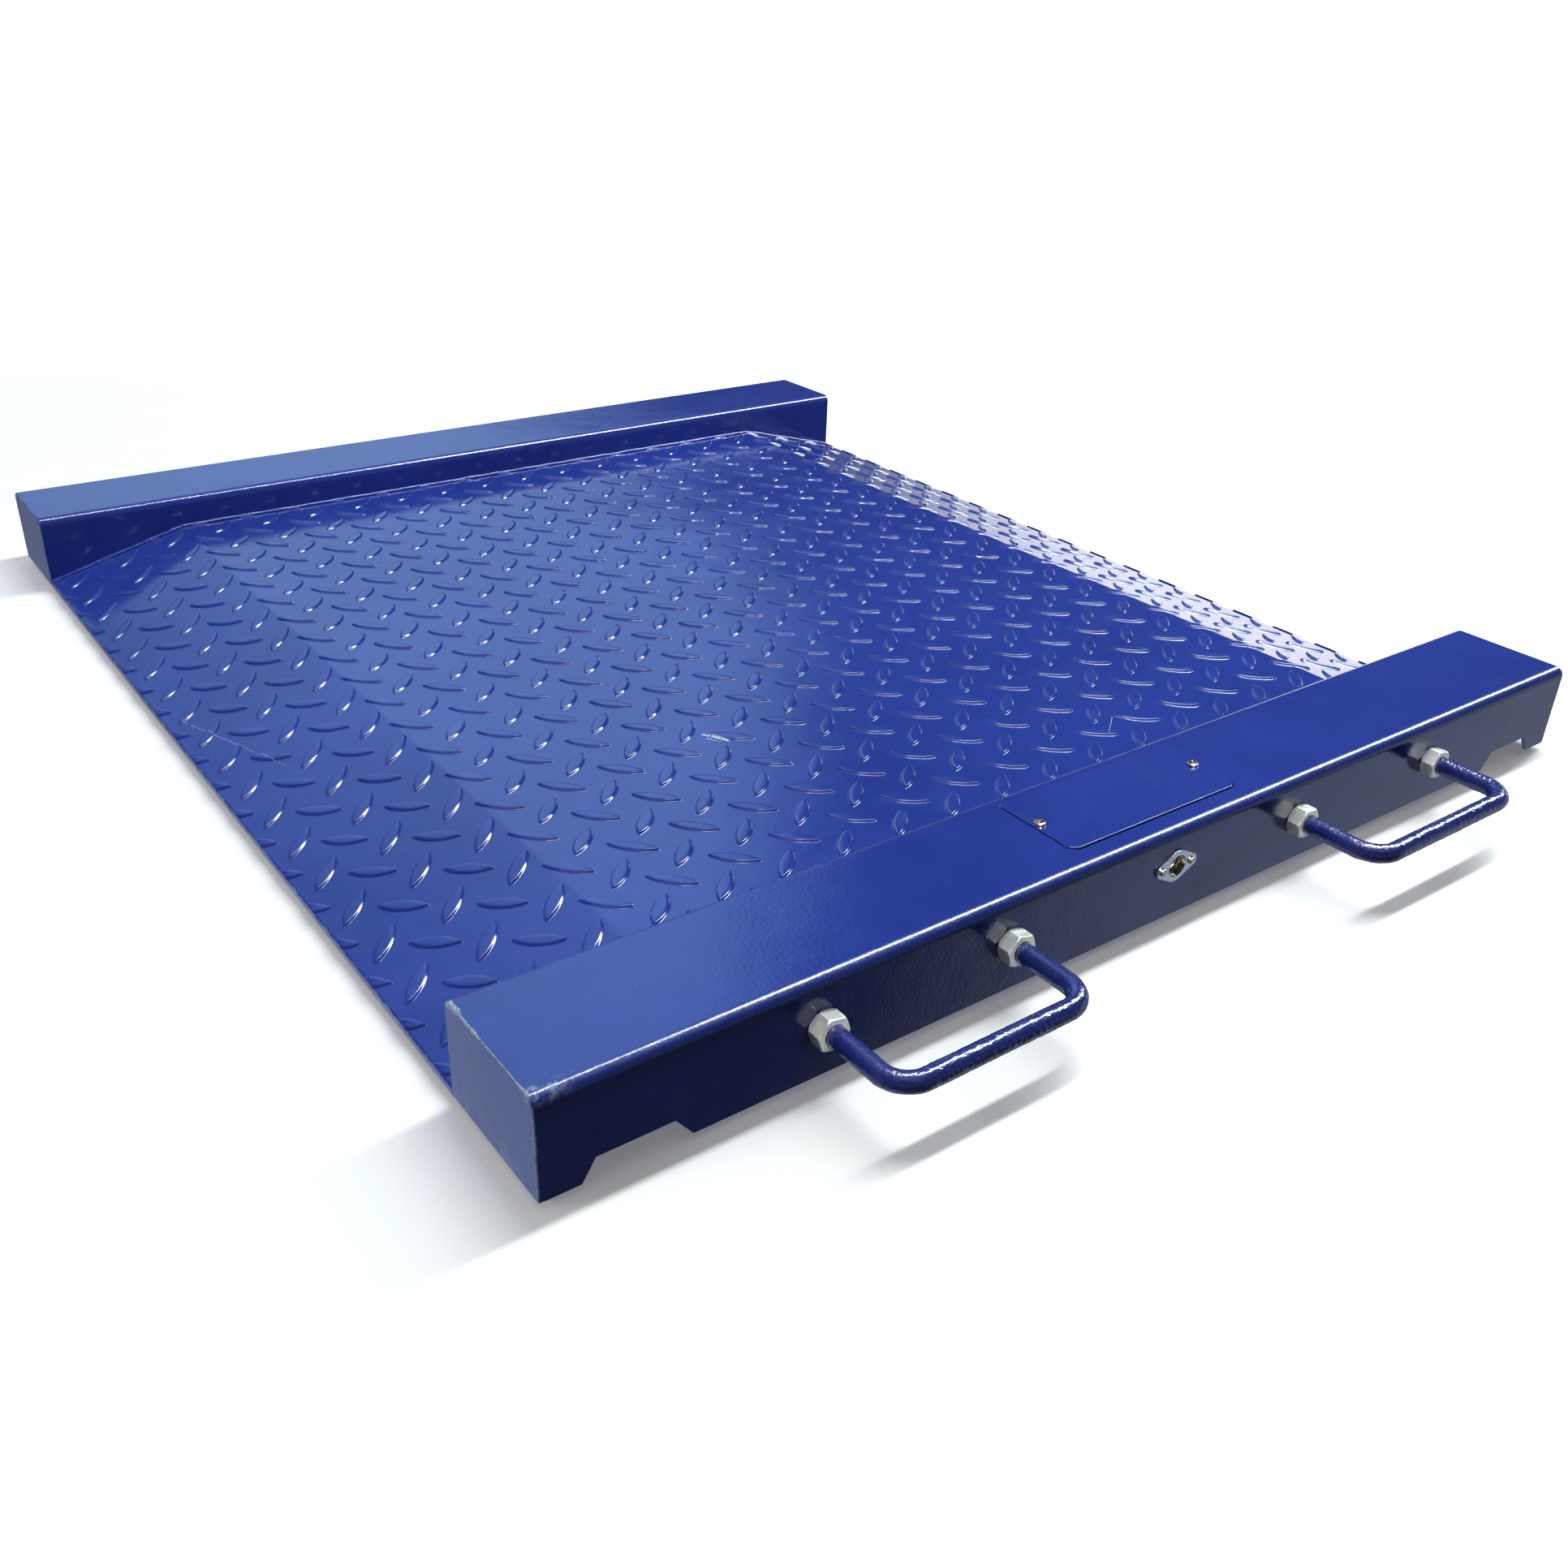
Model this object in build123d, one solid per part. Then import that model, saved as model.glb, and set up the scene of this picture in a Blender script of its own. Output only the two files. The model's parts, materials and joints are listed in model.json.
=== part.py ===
from build123d import *
import math
import os

os.makedirs("parts", exist_ok=True)

# ------------------------------------------------------------------
# Low-profile pallet scale: a folded tread-plate deck with two ramps
# between two hollow side beams. Each beam holds two shear-beam load
# cells on levelling feet. The near beam (-Y side) carries two bar
# handles, the connector socket and the junction tray under a cover.
# Millimetres, +Z up, floor at Z = 0, beams run along X.
# ------------------------------------------------------------------

# driving dimensions
LENGTH = 1000.0          # beam length along X, end plates included
BEAM_W = 106.0           # beam width
BEAM_H = 72.0            # beam height
WALL = 4.0               # beam sheet thickness
FOLD_R = 8.0             # outer radius of the beam's top folds
CLEAR_W = 940.0          # clear width between the beams
GAP = 6.0                # beam bottom above the floor
DECK_TOP = GAP + 40.5    # top of the flat deck
DECK_T = 5.0             # tread plate thickness
RAMP_RUN = 138.0         # horizontal run of each ramp
RAMP_TIP = 5.2           # height of the ramp's cut edge

HANDLE_OUT = 78.0        # how far the handle stands out of the near beam
ROD_D = 14.0             # handle bar
HANDLE_BEND_R = 20.0     # bend radius at the bar's centre line
# handle legs: the one nearer the beam's end, the one nearer the middle
LEGS_LEFT = (-310.0, -158.0)
LEGS_RIGHT = (308.0, 137.0)
HANDLE_Z = GAP + 38.0
NUT_AF = 22.0
NUT_T = 11.5

NOTCH_BOTTOM = (27.0, 99.0)   # from the beam's end
NOTCH_TOP = (36.0, 87.0)
NOTCH_H = 15.0

COVER_L = 170.0
COVER_W = 75.0
COVER_IN = 20.6          # cover's outer edge from the beam's outer face
COVER_T = 3.5
COVER_R = 8.0
COVER_PROUD = 1.0
COVER_SCREW_X = 79.6

SOCKET_Z = GAP + 43.0
SOCKET_BORE_R = 8.5
INSERT_R = 7.6

CELL_L = 130.0
CELL_S = 32.0            # load cell is square in section
CELL_BOTTOM = GAP + 24.0
FOOT_X = 437.0
FOOT_IN = 53.0           # foot axis from the beam's outer face
STUD_R = 6.0
SPACER_T = 12.0

WHEEL_R = 25.0
WHEEL_W = 20.0
WHEEL_OUT = 55.0         # how far the wheels stand out of the far beam
WHEEL_X = 360.0
WHEEL_CZ = GAP + WHEEL_R
AXLE_R = 4.0

CABLE_D = 5.0
CONDUIT_X = 240.0
CONDUIT_Z = GAP + 20.0
CONDUIT_R = 8.0

# derived positions
DEPTH = HANDLE_OUT + 2 * BEAM_W + CLEAR_W + WHEEL_OUT
YN = -DEPTH / 2 + HANDLE_OUT        # outer face of the near beam
YF = DEPTH / 2 - WHEEL_OUT          # outer face of the far beam
YNI = YN + BEAM_W                   # inner face of the near beam
YFI = YF - BEAM_W                   # inner face of the far beam
TOP = GAP + BEAM_H
HX = LENGTH / 2
CHX = HX - WALL                     # half length of the channels
CREASE = HX - RAMP_RUN


def bx(x0, x1, y0, y1, z0, z1):
    return Pos((x0 + x1) / 2, (y0 + y1) / 2, (z0 + z1) / 2) * Box(x1 - x0, y1 - y0, z1 - z0)


def cz(x, y, z0, z1, r):
    return Pos(x, y, (z0 + z1) / 2) * Cylinder(r, z1 - z0)


def cy(x, y0, y1, z, r):
    return Pos(x, (y0 + y1) / 2, z) * Rot(90, 0, 0) * Cylinder(r, abs(y1 - y0))


def cx(x0, x1, y, z, r):
    return Pos((x0 + x1) / 2, y, z) * Rot(0, 90, 0) * Cylinder(r, abs(x1 - x0))


def hexz(x, y, z0, z1, af, turn=0.0):
    h = extrude(RegularPolygon(af / math.sqrt(3), 6, rotation=turn), z1 - z0)
    return Pos(x, y, z0) * h


def hexy(x, y0, y1, z, af, turn=0.0):
    h = extrude(RegularPolygon(af / math.sqrt(3), 6, rotation=turn), y1 - y0)
    return Pos(x, y1, z) * Rot(90, 0, 0) * h


def hexx(x0, x1, y, z, af, turn=0.0):
    h = extrude(RegularPolygon(af / math.sqrt(3), 6, rotation=turn), x1 - x0)
    return Pos(x0, y, z) * Rot(0, 90, 0) * h


def fuse(items):
    out = items[0]
    for it in items[1:]:
        out = out + it
    return out


def save(name, items):
    solids = []
    for it in (items if isinstance(items, (list, tuple)) else [items]):
        solids += list(it.solids())
    shape = solids[0] if len(solids) == 1 else Compound(children=solids)
    shape.label = name
    export_step(shape, "parts/" + name + ".step")


def prism_y(points, y0, y1):
    face = make_face(Polyline(*[(p[0], p[1]) for p in points], close=True))
    return Pos(0, y1, 0) * Rot(90, 0, 0) * extrude(face, y1 - y0)


def prism_x(points, x0, x1):
    # points are (y, z)
    face = make_face(Polyline(*[(p[0], p[1]) for p in points], close=True))
    return Pos(x0, 0, 0) * (Plane.YZ * extrude(face, x1 - x0))


def yin(side, d):
    """Y at distance d inwards from a beam's outer face."""
    return YN + d if side == "near" else YF - d


def span(a, b):
    return (a, b) if a < b else (b, a)


# ------------------------------------------------------------------ beams
def beam_outline(y0, x0, x1, inset=0.0, radius=FOLD_R, bottom=0.0):
    b = bx(x0, x1, y0 + inset, y0 + BEAM_W - inset, GAP + bottom, TOP - inset)
    edges = [e for e in b.edges().filter_by(Axis.X) if e.center().Z > TOP - inset - 0.1]
    return fillet(edges, radius)


def channel(y0):
    outer = beam_outline(y0, -CHX, CHX)
    inner = beam_outline(y0, -CHX - 5, CHX + 5, inset=WALL, radius=FOLD_R - WALL, bottom=-5)
    return outer - inner


def notch(side, s):
    a0, a1 = NOTCH_BOTTOM
    b0, b1 = NOTCH_TOP
    pts = [(s * (HX - a0), GAP - 2), (s * (HX - a0), GAP), (s * (HX - b0), GAP + NOTCH_H),
           (s * (HX - b1), GAP + NOTCH_H), (s * (HX - a1), GAP), (s * (HX - a1), GAP - 2)]
    y0, y1 = span(yin(side, -1), yin(side, WALL + 1))
    return prism_y(pts, y0, y1)


def cover_plate(grow, z0, z1, radius):
    y0 = YN + COVER_IN
    b = bx(-COVER_L / 2 - grow, COVER_L / 2 + grow, y0 - grow, y0 + COVER_W + grow, z0, z1)
    return fillet(b.edges().filter_by(Axis.Z), radius)


near_beam = channel(YN)
for s in (-1, 1):
    near_beam -= notch("near", s)
for x in LEGS_LEFT + LEGS_RIGHT:
    near_beam -= cy(x, YN - 1, YN + WALL + 1, HANDLE_Z, ROD_D / 2 + 0.5)
near_beam -= cover_plate(1.0, TOP - WALL - 1, TOP + 1, COVER_R + 1)
near_beam -= cy(0, YN - 1, YN + WALL + 1, SOCKET_Z, 9.6)
for x in (-15.0, 15.0):
    near_beam -= cy(x, YN - 1, YN + WALL + 1, SOCKET_Z, 1.7)
near_beam -= cy(CONDUIT_X, YNI - WALL - 1, YNI + 1, CONDUIT_Z, CONDUIT_R + 0.05)
save("near_beam", near_beam)

far_beam = channel(YFI)
for s in (-1, 1):
    far_beam -= notch("far", s)
far_beam -= cy(CONDUIT_X, YFI - 1, YFI + WALL + 1, CONDUIT_Z, CONDUIT_R + 0.05)
save("far_beam", far_beam)

for label, y0 in (("near", YN), ("far", YFI)):
    save("end_plate_%s_left" % label, beam_outline(y0, -HX, -CHX))
    save("end_plate_%s_right" % label, beam_outline(y0, CHX, HX))

# ------------------------------------------------------------------- deck
TIP_TOP = GAP + RAMP_TIP
BOT = DECK_TOP - DECK_T
deck = prism_y([(-HX, GAP), (-HX, TIP_TOP), (-CREASE - 0.5, DECK_TOP), (CREASE + 0.5, DECK_TOP),
                (HX, TIP_TOP), (HX, GAP), (CREASE, BOT), (-CREASE, BOT)], YNI, YFI)
save("deck_plate", deck)

MEMBER_X = (-320.0, -160.0, 0.0, 160.0, 320.0)
MEMBER_W = 40.0
MEMBER_Z0 = GAP + 3.0
members = []
for x in MEMBER_X:
    c = bx(x - MEMBER_W / 2, x + MEMBER_W / 2, YNI, YFI, MEMBER_Z0, BOT)
    c -= bx(x - MEMBER_W / 2 + 4, x + MEMBER_W / 2 - 4, YNI - 1, YFI + 1, MEMBER_Z0 - 1, BOT - 4)
    members.append(c)
save("cross_members", members)

gussets = []
gx0 = MEMBER_X[-1] + MEMBER_W / 2
gx1 = CREASE + (BOT - MEMBER_Z0) / (BOT - GAP) * RAMP_RUN
for s in (-1, 1):
    for k in range(7):
        y = (YNI + YFI) / 2 + (k - 3) * 140.0
        pts = [(s * gx0, MEMBER_Z0), (s * gx0, BOT), (s * CREASE, BOT), (s * gx1, MEMBER_Z0)]
        gussets.append(prism_y(pts, y - 2.5, y + 2.5))
save("ramp_gussets", gussets)

# ---------------------------------------------------------------- handles
for name, (xo, xi) in (("handle_left", LEGS_LEFT), ("handle_right", LEGS_RIGHT)):
    yo = YN - HANDLE_OUT + ROD_D / 2
    yi = YN + 28.0
    path = FilletPolyline((xo, yi, HANDLE_Z), (xo, yo, HANDLE_Z),
                          (xi, yo, HANDLE_Z), (xi, yi, HANDLE_Z),
                          radius=HANDLE_BEND_R)
    sec = Plane(origin=(xo, yi, HANDLE_Z), z_dir=(0, -1, 0)) * Circle(ROD_D / 2)
    bar = sweep(sec, path=path)
    ends = [e for e in bar.edges().filter_by(GeomType.CIRCLE)
            if abs(e.center().Y - yi) < 0.01 and abs(e.radius - ROD_D / 2) < 0.01]
    bar = chamfer(ends, 1.5)
    save(name, bar)

legs = list(zip(LEGS_LEFT + LEGS_RIGHT[::-1], (-10, -14, -8, -12)))


def nut_y(x, y0, y1, z, af, r, turn):
    n = hexy(x, y0, y1, z, af, turn)
    # chamfered corners: intersect with a disc that has coned faces
    rc = af / math.sqrt(3)
    blank = cy(x, y0, y1, z, rc * 1.001)
    blank = chamfer([e for e in blank.edges().filter_by(GeomType.CIRCLE)], 1.4)
    n = n & blank
    return n - cy(x, y0 - 1, y1 + 1, z, r)


def nut_z(x, y, z0, z1, af, r, turn=0.0):
    n = hexz(x, y, z0, z1, af, turn)
    rc = af / math.sqrt(3)
    blank = cz(x, y, z0, z1, rc * 1.001)
    blank = chamfer([e for e in blank.edges().filter_by(GeomType.CIRCLE)], 1.0)
    n = n & blank
    return n - cz(x, y, z0 - 1, z1 + 1, r)


BORE = ROD_D / 2 + 0.05
save("handle_outer_nuts", [nut_y(x, YN - NUT_T, YN, HANDLE_Z, NUT_AF, BORE, a) for x, a in legs])
save("handle_washers", [cy(x, YN + WALL, YN + WALL + 3, HANDLE_Z, 15.0)
                        - cy(x, YN, YN + 20, HANDLE_Z, ROD_D / 2 + 0.4) for x, a in legs])
save("handle_inner_nuts", [nut_y(x, YN + WALL + 3, YN + WALL + 3 + NUT_T, HANDLE_Z, NUT_AF, BORE, a + 17)
                           for x, a in legs])

# ----------------------------------------------------------------- socket
ears = [Pos(-15, 0) * Circle(5.5), Pos(15, 0) * Circle(5.5), Circle(12.5)]
flange2d = make_hull(ears[0].edges() + ears[1].edges() + ears[2].edges())
flange = Pos(0, YN, SOCKET_Z) * Rot(90, 0, 0) * extrude(flange2d, 2.0)
flange = fillet([e for e in flange.edges() if e.center().Y < YN - 1.9], 0.6)
shell = flange + cy(0, YN, YN + 18, SOCKET_Z, 9.5)
shell -= cy(0, YN - 5, YN + 6.6, SOCKET_Z, SOCKET_BORE_R)
shell -= cy(0, YN - 5, YN + 20, SOCKET_Z, INSERT_R)
for x in (-15.0, 15.0):
    shell -= cy(x, YN - 5, YN + 2, SOCKET_Z, 1.6)
save("socket_shell", shell)
insert = cy(0, YN + 6.6, YN + 18, SOCKET_Z, INSERT_R - 0.03)
pins = [(0, 0)] + [(4.6 * math.cos(math.radians(a)), 4.6 * math.sin(math.radians(a))) for a in (45, 135, 225, 315)]
for px, pz in pins:
    insert -= cy(px, YN + 5, YN + 19, SOCKET_Z + pz, 1.25)
insert -= bx(-1.2, 1.2, YN + 5, YN + 8, SOCKET_Z + 6.2, SOCKET_Z + 8.0)
save("socket_insert", insert)
save("socket_contacts", [cy(px, YN + 6.8, YN + 20, SOCKET_Z + pz, 1.22) - cy(px, YN + 5, YN + 12, SOCKET_Z + pz, 0.7)
                         for px, pz in pins])
sscrews = []
for x in (-15.0, 15.0):
    head = cy(x, YN - 4.0, YN - 2.0, SOCKET_Z, 3.0)
    head = fillet([e for e in head.edges().filter_by(GeomType.CIRCLE) if e.center().Y < YN - 3.9], 0.9)
    head -= bx(x - 1.9, x + 1.9, YN - 5, YN - 3.1, SOCKET_Z - 0.35, SOCKET_Z + 0.35)
    head -= bx(x - 0.35, x + 0.35, YN - 5, YN - 3.1, SOCKET_Z - 1.9, SOCKET_Z + 1.9)
    sscrews.append(head + cy(x, YN - 2.0, YN + 8, SOCKET_Z, 1.5))
save("socket_screws", sscrews)
save("socket_screw_nuts", [hexy(x, YN + WALL, YN + WALL + 2.4, SOCKET_Z, 5.5, 30) - cy(x, YN, YN + 9, SOCKET_Z, 1.53)
                           for x in (-15.0, 15.0)])

# ------------------------------------------------- cover and junction tray
CY = YN + COVER_IN + COVER_W / 2            # cover's middle
LEDGE_T = 3.0
LEDGE_TOP = TOP - WALL
ledge = bx(-97, 97, YN + 12, YN + 97, LEDGE_TOP - LEDGE_T, LEDGE_TOP)
ledge -= bx(-70, 70, CY - 26, CY + 26, LEDGE_TOP - 10, LEDGE_TOP + 1)
for x in (-COVER_SCREW_X, COVER_SCREW_X):
    ledge -= cz(x, CY, LEDGE_TOP - 5, LEDGE_TOP + 1, 2.55)
save("cover_ledge", ledge)

gz0 = LEDGE_TOP
gz1 = TOP + COVER_PROUD - COVER_T
gasket = cover_plate(-0.5, gz0, gz1, COVER_R - 0.5) - bx(-71, 71, CY - 27, CY + 27, gz0 - 1, gz1 + 1)
for x in (-COVER_SCREW_X, COVER_SCREW_X):
    gasket -= cz(x, CY, gz0 - 1, gz1 + 1, 3.0)
save("cover_gasket", gasket)

cover = cover_plate(0.0, gz1, gz1 + COVER_T, COVER_R)
cover = fillet([e for e in cover.edges() if e.center().Z > gz1 + COVER_T - 0.01], 0.8)
for x in (-COVER_SCREW_X, COVER_SCREW_X):
    cover -= cz(x, CY, gz1 - 1, gz1 + COVER_T + 1, 2.75)
save("access_cover", cover)

csc = []
ct = gz1 + COVER_T
for x, a in ((-COVER_SCREW_X, 20), (COVER_SCREW_X, -35)):
    head = cz(x, CY, ct, ct + 2.2, 4.4)
    head = fillet([e for e in head.edges().filter_by(GeomType.CIRCLE) if e.center().Z > ct + 2.1], 1.4)
    cross = Pos(x, CY, ct + 1.7) * Rot(0, 0, a) * (Box(5.2, 0.9, 2.0) + Box(0.9, 5.2, 2.0))
    csc.append((head - cross) + cz(x, CY, LEDGE_TOP - 3.5, ct, 2.5))
save("cover_screws", csc)

TR_X = 76.0
TR_Y = 29.0
TR_T = 1.5
TR_Z0 = GAP + 45.0
TR_Z1 = LEDGE_TOP - LEDGE_T
tray = bx(-TR_X, TR_X, CY - TR_Y, CY + TR_Y, TR_Z0, TR_Z1) \
    - bx(-TR_X + TR_T, TR_X - TR_T, CY - TR_Y + TR_T, CY + TR_Y - TR_T, TR_Z0 + TR_T, TR_Z1 + 1)
GLAND_Z = GAP + 55.0
glands_r = [YN + 40.0, YN + 58.0, YN + 76.0]
glands_l = [YN + 40.0, YN + 70.0]
gl = [(1, y) for y in glands_r] + [(-1, y) for y in glands_l]
for s, y in gl:
    tray -= cx(*span(s * (TR_X - 3), s * (TR_X + 1)), y, GLAND_Z, 6.05)
BOARD_HX, BOARD_HY = 56.0, 24.0
BOARD_Z = TR_Z0 + TR_T + 5.0
posts = [(sx * 50.0, CY + sy * 19.0) for sx in (-1, 1) for sy in (-1, 1)]
save("junction_tray", tray)
board = bx(-BOARD_HX, BOARD_HX, CY - BOARD_HY, CY + BOARD_HY, BOARD_Z, BOARD_Z + 1.6)
for x, y in posts:
    board -= cz(x, y, BOARD_Z - 1, BOARD_Z + 3, 1.7)
save("junction_board", board)
stand = []
for x, y in posts:
    stand.append(hexz(x, y, TR_Z0 + TR_T, BOARD_Z, 5.5) + cz(x, y, BOARD_Z, BOARD_Z + 1.6, 1.5)
                 + cz(x, y, BOARD_Z + 1.6, BOARD_Z + 3.4, 2.8))
save("board_standoffs", stand)
BZ = BOARD_Z + 1.6
terms = []
for x, y, along in ((-30, CY + 17, 28), (12, CY + 17, 28), (-30, CY - 17, 28), (12, CY - 17, 28)):
    b = bx(x, x + along, y - 4, y + 4, BZ, BZ + 8.0)
    for k in range(5):
        cxk = x + 3.6 + k * 5.2
        b -= cz(cxk, y, BZ + 6, BZ + 9, 1.7)
        ys = y + 4 if y > CY else y - 4
        b -= bx(cxk - 1.5, cxk + 1.5, *span(ys - 2, ys + 2), BZ + 1.2, BZ + 4.2)
    terms.append(b)
save("terminal_blocks", terms)
pots = []
for k in range(4):
    x = -24.0 + 16.0 * k
    b = bx(x - 4.8, x + 4.8, CY - 2.6, CY + 2.6, BZ, BZ + 9.0)
    b += cz(x + 3.2, CY, BZ + 9.0, BZ + 10.2, 1.2)
    pots.append(b)
save("trim_pots", pots)
glands = []
for s, y in gl:
    x0 = s * TR_X
    b = cx(*span(x0 - s * 7, x0), y, GLAND_Z, 6.0)
    b += hexx(*span(x0, x0 + s * 5), y, GLAND_Z, 15.0)
    b += cx(*span(x0 + s * 5, x0 + s * 8), y, GLAND_Z, 6.0)
    b += hexx(*span(x0 + s * 8, x0 + s * 16), y, GLAND_Z, 14.0, 20)
    b += cx(*span(x0 + s * 16, x0 + s * 19), y, GLAND_Z, 5.0)
    b += hexx(*span(x0 - s * (TR_T + 4), x0 - s * TR_T), y, GLAND_Z, 14.0)
    glands.append(b)
save("cable_glands", glands)
GLAND_END = TR_X + 19.0

# ------------------------------------------------------ load cells and feet
cell_x_free = FOOT_X + 16.0
cell_x_fix = cell_x_free - CELL_L
BOLTS = (cell_x_fix + 16.0, cell_x_fix + 42.0)
corners = [(1, "near", -1), (2, "near", 1), (3, "far", -1), (4, "far", 1)]
spacers, cbolts, locks = [], [], []
for n, side, s in corners:
    yc = yin(side, FOOT_IN)
    x0, x1 = span(s * cell_x_fix, s * cell_x_free)
    z0, z1 = CELL_BOTTOM, CELL_BOTTOM + CELL_S
    cell = bx(x0, x1, yc - CELL_S / 2, yc + CELL_S / 2, z0, z1)
    cell = fillet(cell.edges().filter_by(Axis.X), 1.0)
    for bxx in BOLTS:
        cell -= cz(s * bxx, yc, z0 - 1, z1 + 1, 6.3)
    cell -= cz(s * FOOT_X, yc, z0 - 1, z1 + 1, STUD_R + 0.05)
    gx = s * (cell_x_fix + 78.0)
    cell -= cy(gx, yc - CELL_S / 2 - 1, yc - CELL_S / 2 + 8, z0 + 16, 10.5)
    cell -= cy(gx, yc + CELL_S / 2 - 8, yc + CELL_S / 2 + 1, z0 + 16, 10.5)
    cell += cx(*span(s * cell_x_fix, s * (cell_x_fix - 6)), yc, z0 + 16, 4.5)
    save("load_cell_%d" % n, cell)
    sp = bx(*span(s * (cell_x_fix - 4), s * (cell_x_fix + 60)), yc - 20, yc + 20, z1, z1 + SPACER_T)
    for bxx in BOLTS:
        sp -= cz(s * bxx, yc, z1 - 1, z1 + 10, 6.05)
    spacers.append(sp)
    for bxx in BOLTS:
        w = cz(s * bxx, yc, z0 - 2.0, z0, 11.5)
        h = hexz(s * bxx, yc, z0 - 9.5, z0 - 2.0, 18.0, 10.0)
        cbolts.append(w + h + cz(s * bxx, yc, z0, z1 + 9.5, 6.0))
    locks.append(nut_z(s * FOOT_X, yc, z0 - 7.0, z0, 19.0, STUD_R + 0.05, 12.0 * n))
    # foot: base with a round pocket, and the stud that turns in it
    fx = s * FOOT_X
    base = cz(fx, yc, 0, 5.0, 24.0)
    base = fillet([e for e in base.edges().filter_by(GeomType.CIRCLE) if e.center().Z > 4.9], 1.5)
    base = chamfer([e for e in base.edges().filter_by(GeomType.CIRCLE) if e.center().Z < 0.1], 0.8)
    base += cz(fx, yc, 4.9, 11.0, 13.0)
    base -= cz(fx, yc, 5.0, 12.0, 8.05)
    save("foot_base_%d" % n, base)
    stud = cz(fx, yc, 5.0, 11.4, 8.0)
    stud += hexz(fx, yc, 11.4, 17.4, 14.0)
    top = cz(fx, yc, 17.4, 50.0, STUD_R)
    top = chamfer([e for e in top.edges().filter_by(GeomType.CIRCLE) if e.center().Z > 49.9], 1.0)
    stud += top
    save("foot_stud_%d" % n, stud)
save("cell_spacers", spacers)
save("cell_bolts", cbolts)
save("foot_lock_nuts", locks)

# ------------------------------------------------------------------ cables
conduit = cy(CONDUIT_X, YNI - WALL - 4, YFI + WALL + 4, CONDUIT_Z, CONDUIT_R) \
    - cy(CONDUIT_X, YNI - WALL - 5, YFI + WALL + 5, CONDUIT_Z, CONDUIT_R - 1.5)
save("cable_conduit", conduit)


def cable(name, pts):
    radii = []
    for i in range(1, len(pts) - 1):
        a, b, c = (Vector(*pts[i - 1]), Vector(*pts[i]), Vector(*pts[i + 1]))
        u, v = b - a, c - b
        turn = u.get_angle(v)
        radii.append(min(60.0, 0.45 * min(u.length, v.length) / math.tan(math.radians(turn / 2))))
    path = FilletPolyline(*pts, radius=radii)
    d = Vector(*pts[1]) - Vector(*pts[0])
    sec = Plane(origin=pts[0], z_dir=tuple(d)) * Circle(CABLE_D / 2)
    tube = sweep(sec, path=path)
    vol = math.pi * (CABLE_D / 2) ** 2 * path.length
    print("%s length %.0f radii %s volume ratio %.4f" % (
        name, path.length, [round(r, 1) for r in radii], tube.volume / vol))
    save(name, tube)


ze = CELL_BOTTOM + 16.0
xe = cell_x_fix - 6.0                       # the cell's cable exit
g = GAP
yc_n = yin("near", FOOT_IN)
yc_f = yin("far", FOOT_IN)
cable("load_cell_cable_1", [(-xe, yc_n, ze), (-xe + 28, yc_n, ze), (-235, YN + 60, g + 37), (-180, YN + 66, g + 44),
                            (-140, YN + 70, GLAND_Z), (-GLAND_END, YN + 70, GLAND_Z)])
cable("load_cell_cable_2", [(xe, yc_n, ze), (xe - 28, yc_n, ze), (235, YN + 57, g + 43), (180, YN + 59, g + 48),
                            (138, YN + 58, GLAND_Z), (GLAND_END, YN + 58, GLAND_Z)])
ca = CONDUIT_X + 3.0
cb = CONDUIT_X - 3.0
cable("load_cell_cable_3", [(-xe, yc_f, ze), (-xe + 30, yc_f, ze), (-230, yc_f - 8, g + 24), (-140, yc_f + 4, g + 13),
                            (-20, yc_f - 4, g + 11), (110, yc_f + 3, g + 13), (190, yc_f - 2, g + 17),
                            (cb, yc_f - 14, CONDUIT_Z), (cb, yc_f - 44, CONDUIT_Z),
                            (cb - 0.1, YNI - 12, CONDUIT_Z),
                            (cb - 4, YN + 82, CONDUIT_Z + 3), (205, YN + 74, g + 33),
                            (165, YN + 77, g + 46), (132, YN + 76, GLAND_Z), (GLAND_END, YN + 76, GLAND_Z)])
cable("load_cell_cable_4", [(xe, yc_f, ze), (xe - 22, yc_f, ze), (266, yc_f - 6, g + 32),
                            (ca + 2, yc_f - 20, CONDUIT_Z + 1), (ca, yc_f - 44, CONDUIT_Z),
                            (ca + 0.1, YNI - 12, CONDUIT_Z), (ca - 2, YN + 66, CONDUIT_Z - 3),
                            (230, YN + 42, g + 19), (190, YN + 39, g + 34), (150, YN + 41, g + 48),
                            (126, YN + 40, GLAND_Z), (GLAND_END, YN + 40, GLAND_Z)])
cable("socket_cable", [(0, YN + 21, SOCKET_Z), (0, YN + 32, SOCKET_Z - 2), (-14, YN + 40, g + 27),
                       (-45, YN + 41, g + 16), (-110, YN + 40, g + 15), (-152, YN + 41, g + 17),
                       (-156, YN + 41, g + 53), (-124, YN + 40, GLAND_Z), (-GLAND_END, YN + 40, GLAND_Z)])

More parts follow.
